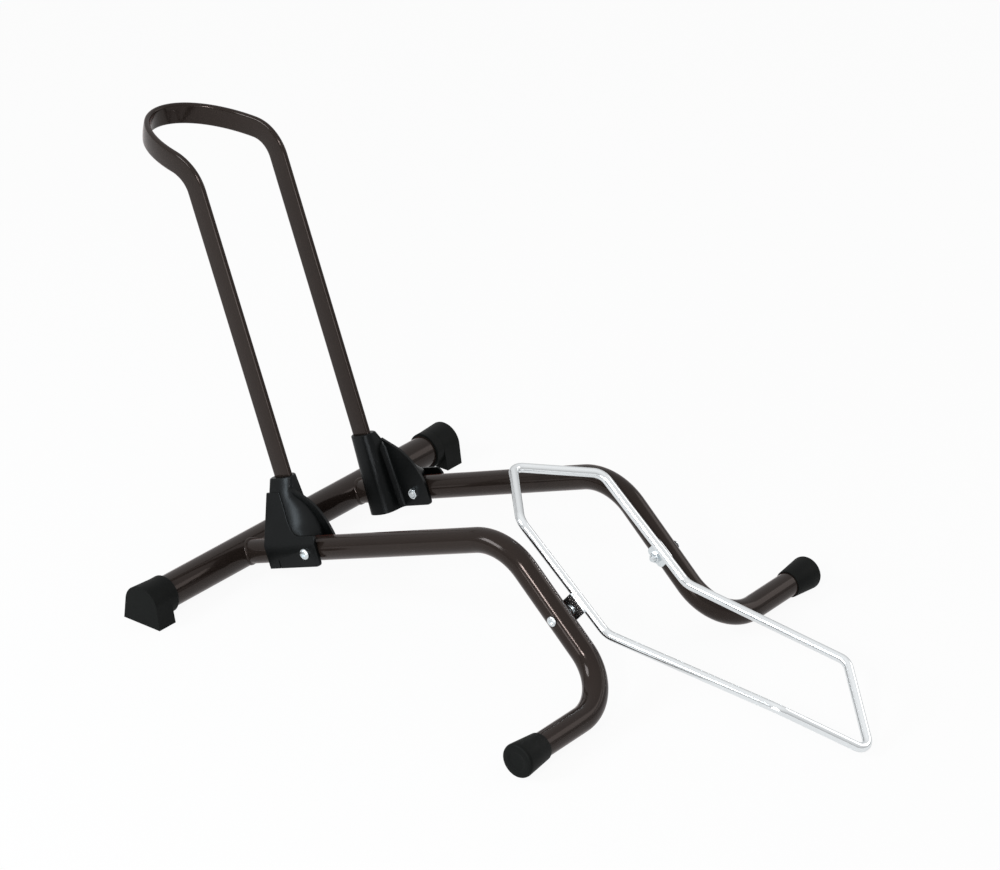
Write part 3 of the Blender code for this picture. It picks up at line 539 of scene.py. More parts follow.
class DrawnRing:
    """A ring of points that is pushed, bent and resized, and leaves a wall behind it."""

    CROWN_CUTS = 9
    LONG_FACE = 0.999
    TINY = 1e-6
    STRAIGHT = 1e-4
    SEAM_GAP = 0.00005

    def __init__(self, name: str, at: Vector, heading: Vector, radius: float, points: int = 48,
                 stretch: float = 0.0, stretch_along: Vector = Vector((1.0, 0.0, 0.0)),
                 crown: float = 0.0) -> None:
        """Set the ring down in edit mode.

        Args:
            name: The piece's name.
            at: The ring's centre.
            heading: The direction that the ring faces.
            radius: The ring's radius.
            points: How many points it has.
            stretch: How far its two halves are pulled apart, each, into a flat oval.
            stretch_along: The direction of that pull.
            crown: How far the oval's two long faces bulge in their middle.
        """
        Workbench.clear()
        self.at = at.copy()
        self.heading = heading.normalized()
        wide = stretch_along - self.heading * stretch_along.dot(self.heading)
        if wide.length < self.TINY:
            wide = self.heading.orthogonal()
        wide.normalize()
        turn = Matrix((wide, self.heading.cross(wide), self.heading)).transposed()
        turn = turn @ Matrix.Rotation(math.pi / points, 3, "Z")
        bpy.ops.mesh.primitive_circle_add(vertices=points, radius=radius, location=at,
                                          rotation=turn.to_euler())
        self.piece = Workbench.named(name)
        bpy.ops.object.transform_apply(location=True, rotation=True, scale=True)
        Workbench.edit()
        if stretch > 0.0:
            self._pull_apart(wide, stretch)
            self._crown(wide, stretch, crown)

    def _pull_apart(self, wide: Vector, stretch: float) -> None:
        """Move the ring's two halves away from each other.

        Args:
            wide: The direction of the pull.
            stretch: How far each half moves.
        """
        for sign in (1.0, -1.0):
            mesh = bmesh.from_edit_mesh(self.piece.data)
            for vert in mesh.verts:
                vert.select_set((vert.co - self.at).dot(wide) * sign > 0.0)
            mesh.select_flush_mode()
            bmesh.update_edit_mesh(self.piece.data)
            bpy.ops.transform.translate(value=wide * (stretch * sign))
        bpy.ops.mesh.select_all(action="SELECT")

    def _crown(self, wide: Vector, stretch: float, crown: float) -> None:
        """Split the oval's two long faces and bulge them.

        Args:
            wide: The direction of the oval's width.
            stretch: Half the length of a long face.
            crown: How far its middle bulges.
        """
        bpy.ops.mesh.select_all(action="DESELECT")
        bpy.ops.mesh.select_mode(type="EDGE")
        mesh = bmesh.from_edit_mesh(self.piece.data)
        for edge in mesh.edges:
            edge.select_set(edge.calc_length() > stretch)
        bmesh.update_edit_mesh(self.piece.data)
        bpy.ops.mesh.subdivide(number_cuts=self.CROWN_CUTS)
        thin = self.heading.cross(wide)
        mesh = bmesh.from_edit_mesh(self.piece.data)
        for vert in mesh.verts:
            off = vert.co - self.at
            share = off.dot(wide) / stretch
            if abs(share) < self.LONG_FACE:
                vert.co += thin * math.copysign(crown * (1.0 - share ** 2), off.dot(thin))
        bmesh.update_edit_mesh(self.piece.data)
        bpy.ops.mesh.select_mode(type="VERT")
        bpy.ops.mesh.select_all(action="SELECT")

    def push(self, move: Vector) -> "DrawnRing":
        """Draw the ring out along a straight run.

        Args:
            move: The run.

        Returns:
            This ring, for the next move.
        """
        bpy.ops.mesh.extrude_region_move(TRANSFORM_OT_translate={"value": move})
        self.at += move
        return self

    def resize(self, factor: float) -> "DrawnRing":
        """Scale the ring where it stands, ready for the next move."""
        bpy.ops.transform.resize(value=(factor, factor, factor), center_override=self.at)
        return self

    def bend(self, centre: Vector, axis: Vector, angle: float, steps: int) -> "DrawnRing":
        """Draw the ring round an arc.

        Args:
            centre: The arc's centre.
            axis: The arc's axis, right-handed.
            angle: The arc's angle in radians.
            steps: How many rings it leaves.

        Returns:
            This ring, for the next move.
        """
        bpy.ops.mesh.spin(steps=steps, angle=-angle, center=centre, axis=axis)
        turn = Matrix.Rotation(angle, 3, axis)
        self.at = centre + turn @ (self.at - centre)
        self.heading = turn @ self.heading
        return self

    def reach(self, target: Vector) -> "DrawnRing":
        """Draw the ring to a point, straight or on the arc that leaves along its heading.

        Args:
            target: The point.

        Returns:
            This ring, for the next move.
        """
        chord = target - self.at
        half = self.heading.angle(chord)
        if half < self.STRAIGHT:
            return self.push(chord)
        axis = self.heading.cross(chord).normalized()
        radius = chord.length / (2.0 * math.sin(half))
        centre = self.at + axis.cross(self.heading) * radius
        return self.bend(centre, axis, 2.0 * half, 1)

    def run(self, corners: list, radii: list, step: float) -> "DrawnRing":
        """Draw the ring along straight runs with a bend at each inner corner.

        Args:
            corners: The corner points still to pass, the last one being the end.
            radii: The bend radius at each corner but the last.
            step: The angle between rings in a bend, in degrees.

        Returns:
            This ring, for the next move.
        """
        for index, radius in enumerate(radii):
            ahead = (corners[index + 1] - corners[index]).normalized()
            turn = self.heading.angle(ahead)
            reach = radius * math.tan(turn / 2.0)
            self.push(corners[index] - self.heading * reach - self.at)
            axis = self.heading.cross(ahead).normalized()
            centre = self.at + axis.cross(self.heading) * radius
            self.bend(centre, axis, turn, max(2, math.ceil(math.degrees(turn) / step)))
        return self.push(corners[len(radii)] - self.at)

    def turned(self, profile: list, facing: Vector) -> "DrawnRing":
        """Follow a turned profile of (distance, radius) pairs along a direction.

        Args:
            profile: The pairs, the first of which is where the ring stands.
            facing: The direction of the distances.

        Returns:
            This ring, for the next move.
        """
        for (here, radius), (there, wider) in zip(profile, profile[1:]):
            self.push(facing * (there - here))
            self.resize(wider / radius)
        return self

    def finish(self, closed: bool = False, angle: float = 40.0) -> Piece:
        """Close the piece and shade it.

        Args:
            closed: Whether the last ring lies on the first.
            angle: Edges sharper than this stay crisp, in degrees.

        Returns:
            The finished piece.
        """
        if closed:
            bpy.ops.mesh.select_all(action="SELECT")
            bpy.ops.mesh.remove_doubles(threshold=self.SEAM_GAP)
        return Workbench.close(self.piece, angle)


class LaidRings:
    """A skin drawn from one closed outline to the next, point onto point."""

    CRISP_ANGLE = 35.0

    def __init__(self, name: str, first: list) -> None:
        """Set the first outline down in edit mode.

        Args:
            name: The piece's name.
            first: The outline's points in order.
        """
        Workbench.clear()
        bpy.ops.mesh.primitive_circle_add(vertices=len(first))
        self.piece = Workbench.named(name)
        for vert, place in zip(self.piece.data.vertices, first):
            vert.co = place
        self.ring = [Vector(place) for place in first]
        Workbench.edit()

    def onto(self, places: list) -> "LaidRings":
        """Draw the open outline out onto the next one.

        Args:
            places: The next outline's points in the same order.

        Returns:
            These rings, for the next move.
        """
        bpy.ops.mesh.extrude_region_move(TRANSFORM_OT_translate={"value": (0.0, 0.0, 0.0)})
        mesh = bmesh.from_edit_mesh(self.piece.data)
        for vert in [v for v in mesh.verts if v.select]:
            distances = [(place - vert.co).length_squared for place in self.ring]
            vert.co = places[distances.index(min(distances))]
        bmesh.update_edit_mesh(self.piece.data)
        self.ring = [Vector(place) for place in places]
        return self

    def finish(self) -> Piece:
        """Close both ends and shade the piece, whose outlines stay crisp."""
        return Workbench.close(self.piece, self.CRISP_ANGLE)


# ---- Sub-assemblies ------------------------------------------------------------


def square_to(direction: Vector) -> Vector:
    """The direction in the XZ plane that stands a quarter turn above another one."""
    return Vector((-direction.z, 0.0, direction.x))


def other_side(points: list) -> list:
    """The same points across the middle plane, in reverse order."""
    return [Vector((point.x, -point.y, point.z)) for point in reversed(points)]


@dataclass
class Layout:
    """Places that several sub-assemblies share, measured from the frame's crossbar."""

    axis_x: float = field(init=False)
    crossbar_z: float = field(init=False)
    tube_y: float = 0.0866
    tube_radius: float = 0.0127
    tube_start_drop: float = 0.0016
    tube_top: tuple = (0.3409, 0.1450)
    tube_front: tuple = (0.4769, 0.0176)
    bracket_bolt_x: float = 0.0991
    pivot_down_tube: float = 0.0926
    pivot_above_axis: float = 0.0019

    def __post_init__(self) -> None:
        """Read the crossbar's place."""
        low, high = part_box("crossbar")
        self.axis_x = (low[0] + high[0]) / 2.0
        self.crossbar_z = (low[2] + high[2]) / 2.0

    def at(self, x: float, y: float, z: float) -> Vector:
        """A point, with x measured from the crossbar's axis."""
        return Vector((self.axis_x + x, y, z))

    @property
    def tube_start_z(self) -> float:
        """Height of the side tubes' axis over the crossbar's."""
        return self.crossbar_z - self.tube_start_drop

    @property
    def rise(self) -> float:
        """The side tube's climb in radians."""
        return math.atan2(self.tube_top[1] - self.tube_start_z, self.tube_top[0])

    @property
    def bracket_bolt(self) -> Vector:
        """The bracket bolt's axis in the middle plane."""
        return self.at(self.bracket_bolt_x, 0.0,
                       self.tube_start_z + self.bracket_bolt_x * math.tan(self.rise))

    @property
    def descent(self) -> Vector:
        """Direction of the side tube on its way down."""
        run, climb = (front - top for front, top in zip(self.tube_front, self.tube_top))
        return Vector((run, 0.0, climb)).normalized()

    def beside_tube(self, along: float, above: float, y: float) -> Vector:
        """A point given along and above the side tube from the bracket's bolt."""
        bolt, rise = self.bracket_bolt, self.rise
        return Vector((bolt.x + along * math.cos(rise) - above * math.sin(rise), y,
                       bolt.z + along * math.sin(rise) + above * math.cos(rise)))

    @property
    def pivot(self) -> Vector:
        """The rocker's axis in the middle plane."""
        down, top = self.descent, self.at(self.tube_top[0], 0.0, self.tube_top[1])
        return top + down * self.pivot_down_tube + square_to(down) * self.pivot_above_axis


@dataclass
class BaseTubes:
    """The crossbar and the two bent side tubes, with the weld beads between them."""

    layout: Layout
    crossbar_radius: float = 0.0170
    crossbar_half: float = 0.2361
    crossbar_points: int = 72
    tube_start: float = 0.0120
    tube_points: int = 56
    top_bend: float = 0.0600
    front_bend: float = 0.0550
    bend_step: float = 3.0
    front_end: float = 0.2348
    bead_radius: float = 0.0030
    bead_depth: float = 0.0012
    bead_rings: int = 54
    bead_points: int = 28
    bead_swell: float = 1.012

    def build(self, room: FinishRoom) -> None:
        """Make the crossbar, tubes and beads.

        Args:
            room: Where the finishes are kept.
        """
        here = self.layout
        start = here.at(0.0, -self.crossbar_half, here.crossbar_z)
        bar = DrawnRing("crossbar_skin", start, Vector((0.0, 1.0, 0.0)), self.crossbar_radius,
                        self.crossbar_points)
        bar = bar.push(Vector((0.0, 2.0 * self.crossbar_half, 0.0))).finish()
        room.dress(bar, PAINT, Body.FRAME)
        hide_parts("crossbar")

        near = self._side_tube()
        far = Workbench.mirrored(near, "side_tube_skin_far")
        for tube, side in ((near, Side.NEAR), (far, Side.FAR)):
            room.dress(tube, PAINT, Body.FRAME)
            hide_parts("side_tube_" + side.label)
        bead = self._bead()
        for piece in (bead, Workbench.mirrored(bead, "tube_weld_far")):
            room.dress(piece, PAINT, Body.FRAME)

    def _side_tube(self) -> Piece:
        """Bend the near side tube.

        Returns:
            The finished tube.
        """
        here = self.layout
        y = -here.tube_y
        first = here.at(self.tube_start, y,
                        here.tube_start_z + self.tube_start * math.tan(here.rise))
        top = here.at(here.tube_top[0], y, here.tube_top[1])
        front = here.at(here.tube_front[0], y, here.tube_front[1])
        end = here.at(here.tube_front[0], -self.front_end, here.tube_front[1])
        ring = DrawnRing("side_tube_skin_near", first, top - first, here.tube_radius,
                         self.tube_points)
        ring.run([top, front, end], [self.top_bend, self.front_bend], self.bend_step)
        return ring.finish()

    def _bead(self) -> Piece:
        """Lay a faintly rippled weld bead where the near side tube meets the crossbar.

        Returns:
            The finished bead.
        """
        here = self.layout
        along = Vector((math.cos(here.rise), 0.0, math.sin(here.rise)))
        up = square_to(along)
        across = Vector((0.0, 1.0, 0.0))
        base = here.at(0.0, -here.tube_y, here.tube_start_z)
        axis = here.at(0.0, -here.tube_y, here.crossbar_z)
        reach = self.crossbar_radius - self.bead_depth
        ring_radius = here.tube_radius - self.bead_depth
        points = []
        for i in range(self.bead_rings):
            a = 2.0 * math.pi * i / self.bead_rings
            foot = base + across * (math.cos(a) * ring_radius) + up * (math.sin(a) * ring_radius)
            off = foot - axis
            off.y = 0.0
            ahead = off.dot(along)
            depth = math.sqrt(max(0.0, ahead ** 2 - off.length_squared + reach ** 2))
            points.append(foot + along * (depth - ahead))
        ring = DrawnRing("tube_weld_near", points[0], points[1] - points[-1], self.bead_radius,
                         self.bead_points)
        swells = (1.0, self.bead_swell, 1.0 / self.bead_swell)
        for i, point in enumerate(points[1:], start=1):
            ring.reach(point).resize(swells[i % 3])
        return ring.reach(points[0]).finish(closed=True, angle=60.0)


@dataclass
class RubberEnds:
    """The moulded blocks on the crossbar and the flared caps on the side tubes."""

    layout: Layout
    stand_half: float = 0.2396
    sleeve_radius: float = 0.0199
    round_radius: float = 0.0200
    foot_length: float = 0.0346
    block_length: float = 0.0236
    base_half: float = 0.0243
    end_flare: float = 0.0014
    edge_round: float = 0.0012
    mouth_round: float = 0.0005
    round_steps: int = 40
    side_steps: int = 4
    sole_steps: int = 6
    cap_span: float = 0.2393
    cap_length: float = 0.0354
    cap_points: int = 64

    def build(self, room: FinishRoom) -> None:
        """Make the four rubber ends.

        Args:
            room: Where the finishes are kept.
        """
        foot = self._foot()
        cap = self._cap()
        pairs = ((foot, Workbench.mirrored(foot, "rear_block_far"), "rear_foot_"),
                 (cap, Workbench.mirrored(cap, "flared_cap_far"), "front_cap_"))
        for near, far, node in pairs:
            for piece, side in ((near, Side.NEAR), (far, Side.FAR)):
                room.dress(piece, RUBBER, Body.FRAME)
                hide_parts(node + side.label)

    def _outline(self, y: float, flare: float = 0.0, sleeve: float = 0.0) -> list:
        """End view of the foot: round over the crossbar, straight down to the wide sole.

        Args:
            y: Where the outline stands.
            flare: How much wider its round part is.
            sleeve: Radius of the round sleeve, or 0 for the block.

        Returns:
            The outline's points, as many and in the same directions on the sleeve as on the block.
        """
        drop = self.layout.crossbar_z
        radius = self.round_radius + flare
        length = math.hypot(self.base_half, drop)
        tilt = math.atan2(drop, -self.base_half) - math.asin(radius / length)
        touch = math.sqrt(length ** 2 - radius ** 2)
        first = math.atan2(touch * math.sin(tilt) - drop, self.base_half + touch * math.cos(tilt))
        angles = [first + (math.pi - 2.0 * first) * i / self.round_steps
                  for i in range(self.round_steps + 1)]
        places = [(radius * math.cos(a), radius * math.sin(a)) for a in angles]
        left, right = places[-1], places[0]
        for i in range(1, self.side_steps + 1):
            t = i / self.side_steps
            places.append((left[0] + (-self.base_half - left[0]) * t,
                           left[1] + (-drop - left[1]) * t))
        for i in range(1, self.sole_steps + 1):
            places.append((-self.base_half + 2.0 * self.base_half * i / self.sole_steps, -drop))
        for i in range(1, self.side_steps):
            t = i / self.side_steps
            places.append((self.base_half + (right[0] - self.base_half) * t,
                           -drop + (right[1] + drop) * t))
        if sleeve > 0.0:
            angles = [math.atan2(z, x) for x, z in places]
            places = [(sleeve * math.cos(a), sleeve * math.sin(a)) for a in angles]
        return [self.layout.at(x, y, drop + z) for x, z in places]

    def _foot(self) -> Piece:
        """Draw the crossbar's end piece from its sleeve's mouth out to the block's end.

        Returns:
            The finished end piece.
        """
        end = -self.stand_half
        mouth = end + self.foot_length
        step = end + self.block_length
        soft = self.mouth_round
        rings = LaidRings("rear_block_near", self._outline(mouth, sleeve=self.sleeve_radius - soft))
        rings.onto(self._outline(mouth - soft, sleeve=self.sleeve_radius))
        rings.onto(self._outline(step, sleeve=self.sleeve_radius)).onto(self._outline(step))
        piece = rings.onto(self._outline(end, flare=self.end_flare)).finish()
        Workbench.soften(piece, self.edge_round, segments=4, angle=36.0)
        return Workbench.settle(piece, angle=30.0)

    def _cap(self) -> Piece:
        """Turn a front cap, from its thin mouth to its round end with a shallow dish in it.

        Returns:
            The finished cap.
        """
        here = self.layout
        mouth = self.cap_span - self.cap_length
        profile = [(0.0, here.tube_radius + 0.0004), (0.0, 0.0140), (0.0002, 0.01425),
                   (0.0006, 0.0144), (0.0310, 0.0175), (0.0318, 0.01752), (0.0326, 0.01745),
                   (0.0336, 0.0172), (0.0344, 0.01675), (0.0349, 0.0162), (0.0352, 0.0155),
                   (0.0354, 0.0146), (0.0354, 0.0099), (0.0353, 0.0094), (0.0350, 0.0089),
                   (0.0349, 0.0084), (0.0348, 0.0050), (0.0348, 0.0010)]
        at = here.at(here.tube_front[0], -mouth, here.tube_front[1])
        out = Vector((0.0, -1.0, 0.0))
        ring = DrawnRing("flared_cap_near", at, out, profile[0][1], self.cap_points)
        return ring.turned(profile, out).finish(angle=50.0)


@dataclass
class Hoop:
    """The flat oval tube that stands in the brackets and bends back over the top."""

    layout: Layout
    leg_y: float = 0.0615
    width: float = 0.0233
    thickness: float = 0.0070
    crown: float = 0.0005
    height: float = 0.3969
    bend_radius: float = 0.0383
    behind_bolt: float = 0.0415
    low_end: float = -0.0067
    arch_pitch: float = 7.2
    arch_start: float = 0.0045
    arch_depth: float = 0.0979
    bend_steps: int = 24
    arch_steps: int = 72
    ring_points: int = 32

    def _path(self) -> list:
        """Centre line from the near leg's bend over the arch to the far leg's.

        Returns:
            The points of the bend, the arch and the far bend.
        """
        foot = self.layout.beside_tube(-self.behind_bolt, self.low_end, -self.leg_y)
        bend = self.layout.beside_tube(-self.behind_bolt, self.height, -self.leg_y)
        pitch = math.radians(self.arch_pitch)
        back = Vector((-math.cos(pitch), 0.0, math.sin(pitch)))
        leg = (bend - foot).normalized()
        turn = leg.angle(back)
        reach = self.bend_radius * math.tan(turn / 2.0)
        axis = leg.cross(back).normalized()
        centre = bend - leg * reach + axis.cross(leg) * self.bend_radius
        arm = bend - leg * reach - centre
        half = [centre + Matrix.Rotation(turn * i / self.bend_steps, 3, axis) @ arm
                for i in range(self.bend_steps + 1)]
        for point in half:
            run = (point - bend).dot(back) - self.arch_start
            if run > 0.0:
                point.y = -self.leg_y * math.sqrt(1.0 - (run / self.arch_depth) ** 2)
        first = math.asin((reach - self.arch_start) / self.arch_depth)
        arch = []
        for i in range(1, self.arch_steps):
            a = first + (math.pi - 2.0 * first) * i / self.arch_steps
            place = bend + back * (self.arch_start + self.arch_depth * math.sin(a))
            arch.append(Vector((place.x, -self.leg_y * math.cos(a), place.z)))
        return half + arch + other_side(half)

    def build(self, room: FinishRoom) -> None:
        """Draw the hoop from its near end to its far end.

        Args:
            room: Where the finishes are kept.
        """
        here = self.layout
        start = here.beside_tube(-self.behind_bolt, self.low_end, -self.leg_y)
        path = self._path()
        across = Vector((math.cos(here.rise), 0.0, math.sin(here.rise)))
        radius = self.thickness / 2.0 - self.crown
        ring = DrawnRing("hoop_skin", start, path[0] - start, radius, self.ring_points,
                         self.width / 2.0 - radius, across, self.crown)
        ring.push(path[0] - start)
        for point in path[1:]:
            ring.reach(point)
        ring.push(here.beside_tube(-self.behind_bolt, self.low_end, self.leg_y) - ring.at)
        piece = ring.finish(angle=50.0)
        room.dress(piece, PAINT, Body.FRAME)
        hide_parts("hoop")


@dataclass
class HoopBrackets:
    """The two plastic brackets that saddle the side tubes and hold the hoop's legs."""

    edge_round: float = 0.0007

    def build(self, room: FinishRoom) -> None:
        """Soften both brackets.

        Args:
            room: Where the finishes are kept.
        """
        near = Workbench.from_frame("hoop_bracket_near", "bracket_moulding_near")
        Workbench.soften(near, self.edge_round, segments=2, angle=34.0)
        Workbench.settle(near, angle=35.0)
        far = Workbench.mirrored(near, "bracket_moulding_far")
        for piece, side in ((near, Side.NEAR), (far, Side.FAR)):
            Workbench.modify(piece, "WEIGHTED_NORMAL", keep_sharp=True, weight=50)
            room.dress(piece, PLASTIC, Body.FRAME)
            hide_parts("hoop_bracket_" + side.label)


@dataclass
class Rocker:
    """The chromed wire frame that swings between the side tubes, with its pivot plates."""

    layout: Layout
    wire_radius: float = 0.00475
    wire_y: float = 0.06525
    toe_y: float = 0.0577
    above_bolt: float = 0.01445
    arm_pitch: float = 39.9
    shoulder_from_bolt: float = 0.0973
    knee_from_bolt: float = 0.0406
    rear_run: float = 0.0612
    rear_rise: float = 0.0135
    front_run: float = 0.1951
    front_drop: float = 0.0156
    tip_run: float = 0.0675
    floor_gap: float = 0.0005
    plate_inner: float = 0.0703
    plate_thickness: float = 0.0018
    plate_half: float = 0.0115
    plate_top: float = 0.01485
    plate_bottom: float = 0.0068
    plate_corner: float = 0.0050
    knee_bend: float = 0.0220
    toe_bend: float = 0.0200
    shoulder_bend: float = 0.0190
    apex_bend: float = 0.0110
    apex_cut: float = 0.0045
    bend_step: float = 5.0
    seam_share: float = 0.30
    wire_points: int = 32
    plate_corner_steps: int = 8
    plate_edge_round: float = 0.00025
    bead_inset: float = 0.0004
    bead_margin: float = 0.0012
    bead_lift: float = 0.0002
    bead_tip: float = 0.0005
    bead_points: int = 16
    bead_steps: int = 13
    bead_step: float = 0.0016
    bead_growth: float = 2.6
    bead_close: float = 0.4
    bead_ripple: float = 1.10

    @property
    def down(self) -> Vector:
        """Direction of the long arms, down towards the front."""
        pitch = math.radians(self.arm_pitch)
        return Vector((math.cos(pitch), 0.0, -math.sin(pitch)))

    def beside_bolt(self, along: float, above: float, y: float) -> Vector:
        """A point given down the long arm and square to it from the pivot."""
        place = self.layout.pivot + self.down * along + square_to(self.down) * above
        return Vector((place.x, y, place.z))

    def build(self, room: FinishRoom) -> None:
        """Draw the wire and make the plates and their welds.

        Args:
            room: Where the finishes are kept.
        """
        wire = self._wire()
        room.dress(wire, CHROME, Body.ROCKER)
        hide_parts("rocker_wire")
        plate = self._plate()
        plates = ((plate, Side.NEAR), (Workbench.mirrored(plate, "pivot_plate_far"), Side.FAR))
        for piece, side in plates:
            room.dress(piece, ZINC, Body.ROCKER)
            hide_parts("pivot_tab_" + side.label)
        bead = self._bead()
        for piece in (bead, Workbench.mirrored(bead, "plate_weld_far")):
            room.dress(piece, CHROME, Body.ROCKER)

    def _wire(self) -> Piece:
        """Draw the closed wire round its corners.

        Returns:
            The finished wire.
        """
        shoulder = self.beside_bolt(-self.shoulder_from_bolt, self.above_bolt, -self.wire_y)
        knee = self.beside_bolt(self.knee_from_bolt, self.above_bolt, -self.wire_y)
        toe = Vector((knee.x + self.front_run, -self.toe_y, knee.z - self.front_drop))
        rear = Vector((shoulder.x - self.rear_run, 0.0, shoulder.z + self.rear_rise))
        near = [shoulder, knee, toe]
        slope = math.hypot(self.tip_run, self.toe_y)
        drop = toe.z - self.floor_gap - self.wire_radius
        front = Vector((toe.x + self.tip_run, 0.0,
                        toe.z - drop * slope / (slope - self.apex_cut)))
        start = shoulder.lerp(knee, self.seam_share)
        corners = [knee, toe, front, *other_side(near), rear, shoulder, start]
        radii = [self.knee_bend, self.toe_bend, self.apex_bend, self.toe_bend, self.knee_bend,
                 self.shoulder_bend, self.apex_bend, self.shoulder_bend]
        ring = DrawnRing("rocker_wire_skin", start, knee - start, self.wire_radius,
                         self.wire_points)
        return ring.run(corners, radii, self.bend_step).finish(closed=True)

    def _plate(self) -> Piece:
        """Cut the near pivot plate, with rounded lower corners and soft edges.

        Returns:
            The finished plate.
        """
        half, corner, low = self.plate_half, self.plate_corner, -self.plate_bottom
        outline = [(half, self.plate_top), (-half, self.plate_top)]
        for centre, start in ((-half + corner, 180.0), (half - corner, 270.0)):
            for i in range(self.plate_corner_steps + 1):
                a = math.radians(start + 90.0 * i / self.plate_corner_steps)
                outline.append((centre + corner * math.cos(a),
                                low + corner + corner * math.sin(a)))
        inner, outer = -self.plate_inner, -self.plate_inner - self.plate_thickness
        rings = LaidRings("pivot_plate_near", [self.beside_bolt(x, z, inner) for x, z in outline])
        piece = rings.onto([self.beside_bolt(x, z, outer) for x, z in outline]).finish()
        Workbench.soften(piece, self.plate_edge_round, segments=2, angle=40.0)
        return Workbench.settle(piece, angle=35.0)

    def _bead(self) -> Piece:
        """Lay the bead that joins the near plate's top to the wire.

        Returns:
            The finished bead.
        """
        start = self.beside_bolt(-self.plate_half + self.bead_margin,
                                 self.plate_top + self.bead_lift,
                                 -self.plate_inner - self.bead_inset)
        ring = DrawnRing("plate_weld_near", start, self.down, self.bead_tip, self.bead_points)
        ripples = (1.0 / self.bead_ripple, self.bead_ripple)
        swells = [ripples[i % 2] for i in range(self.bead_steps)]
        swells[0], swells[-1] = self.bead_growth, self.bead_close
        for swell in swells:
            ring.push(self.down * self.bead_step).resize(swell)
        return ring.finish(angle=60.0)


@dataclass(frozen=True)
class BoltedJoint:
    """A bolt and its nut, with distances from the middle plane."""

    place: str
    seat: float
    head_radius: float
    head_height: float
    bolt_length: float
    nut_face: float


BRACKET_JOINT = BoltedJoint("bracket", seat=0.1033, head_radius=0.0058, head_height=0.0033,
                            bolt_length=0.0398, nut_face=0.0703)
PIVOT_JOINT = BoltedJoint("pivot", seat=0.0996, head_radius=0.00525, head_height=0.0019,
                          bolt_length=0.0386, nut_face=0.0700)


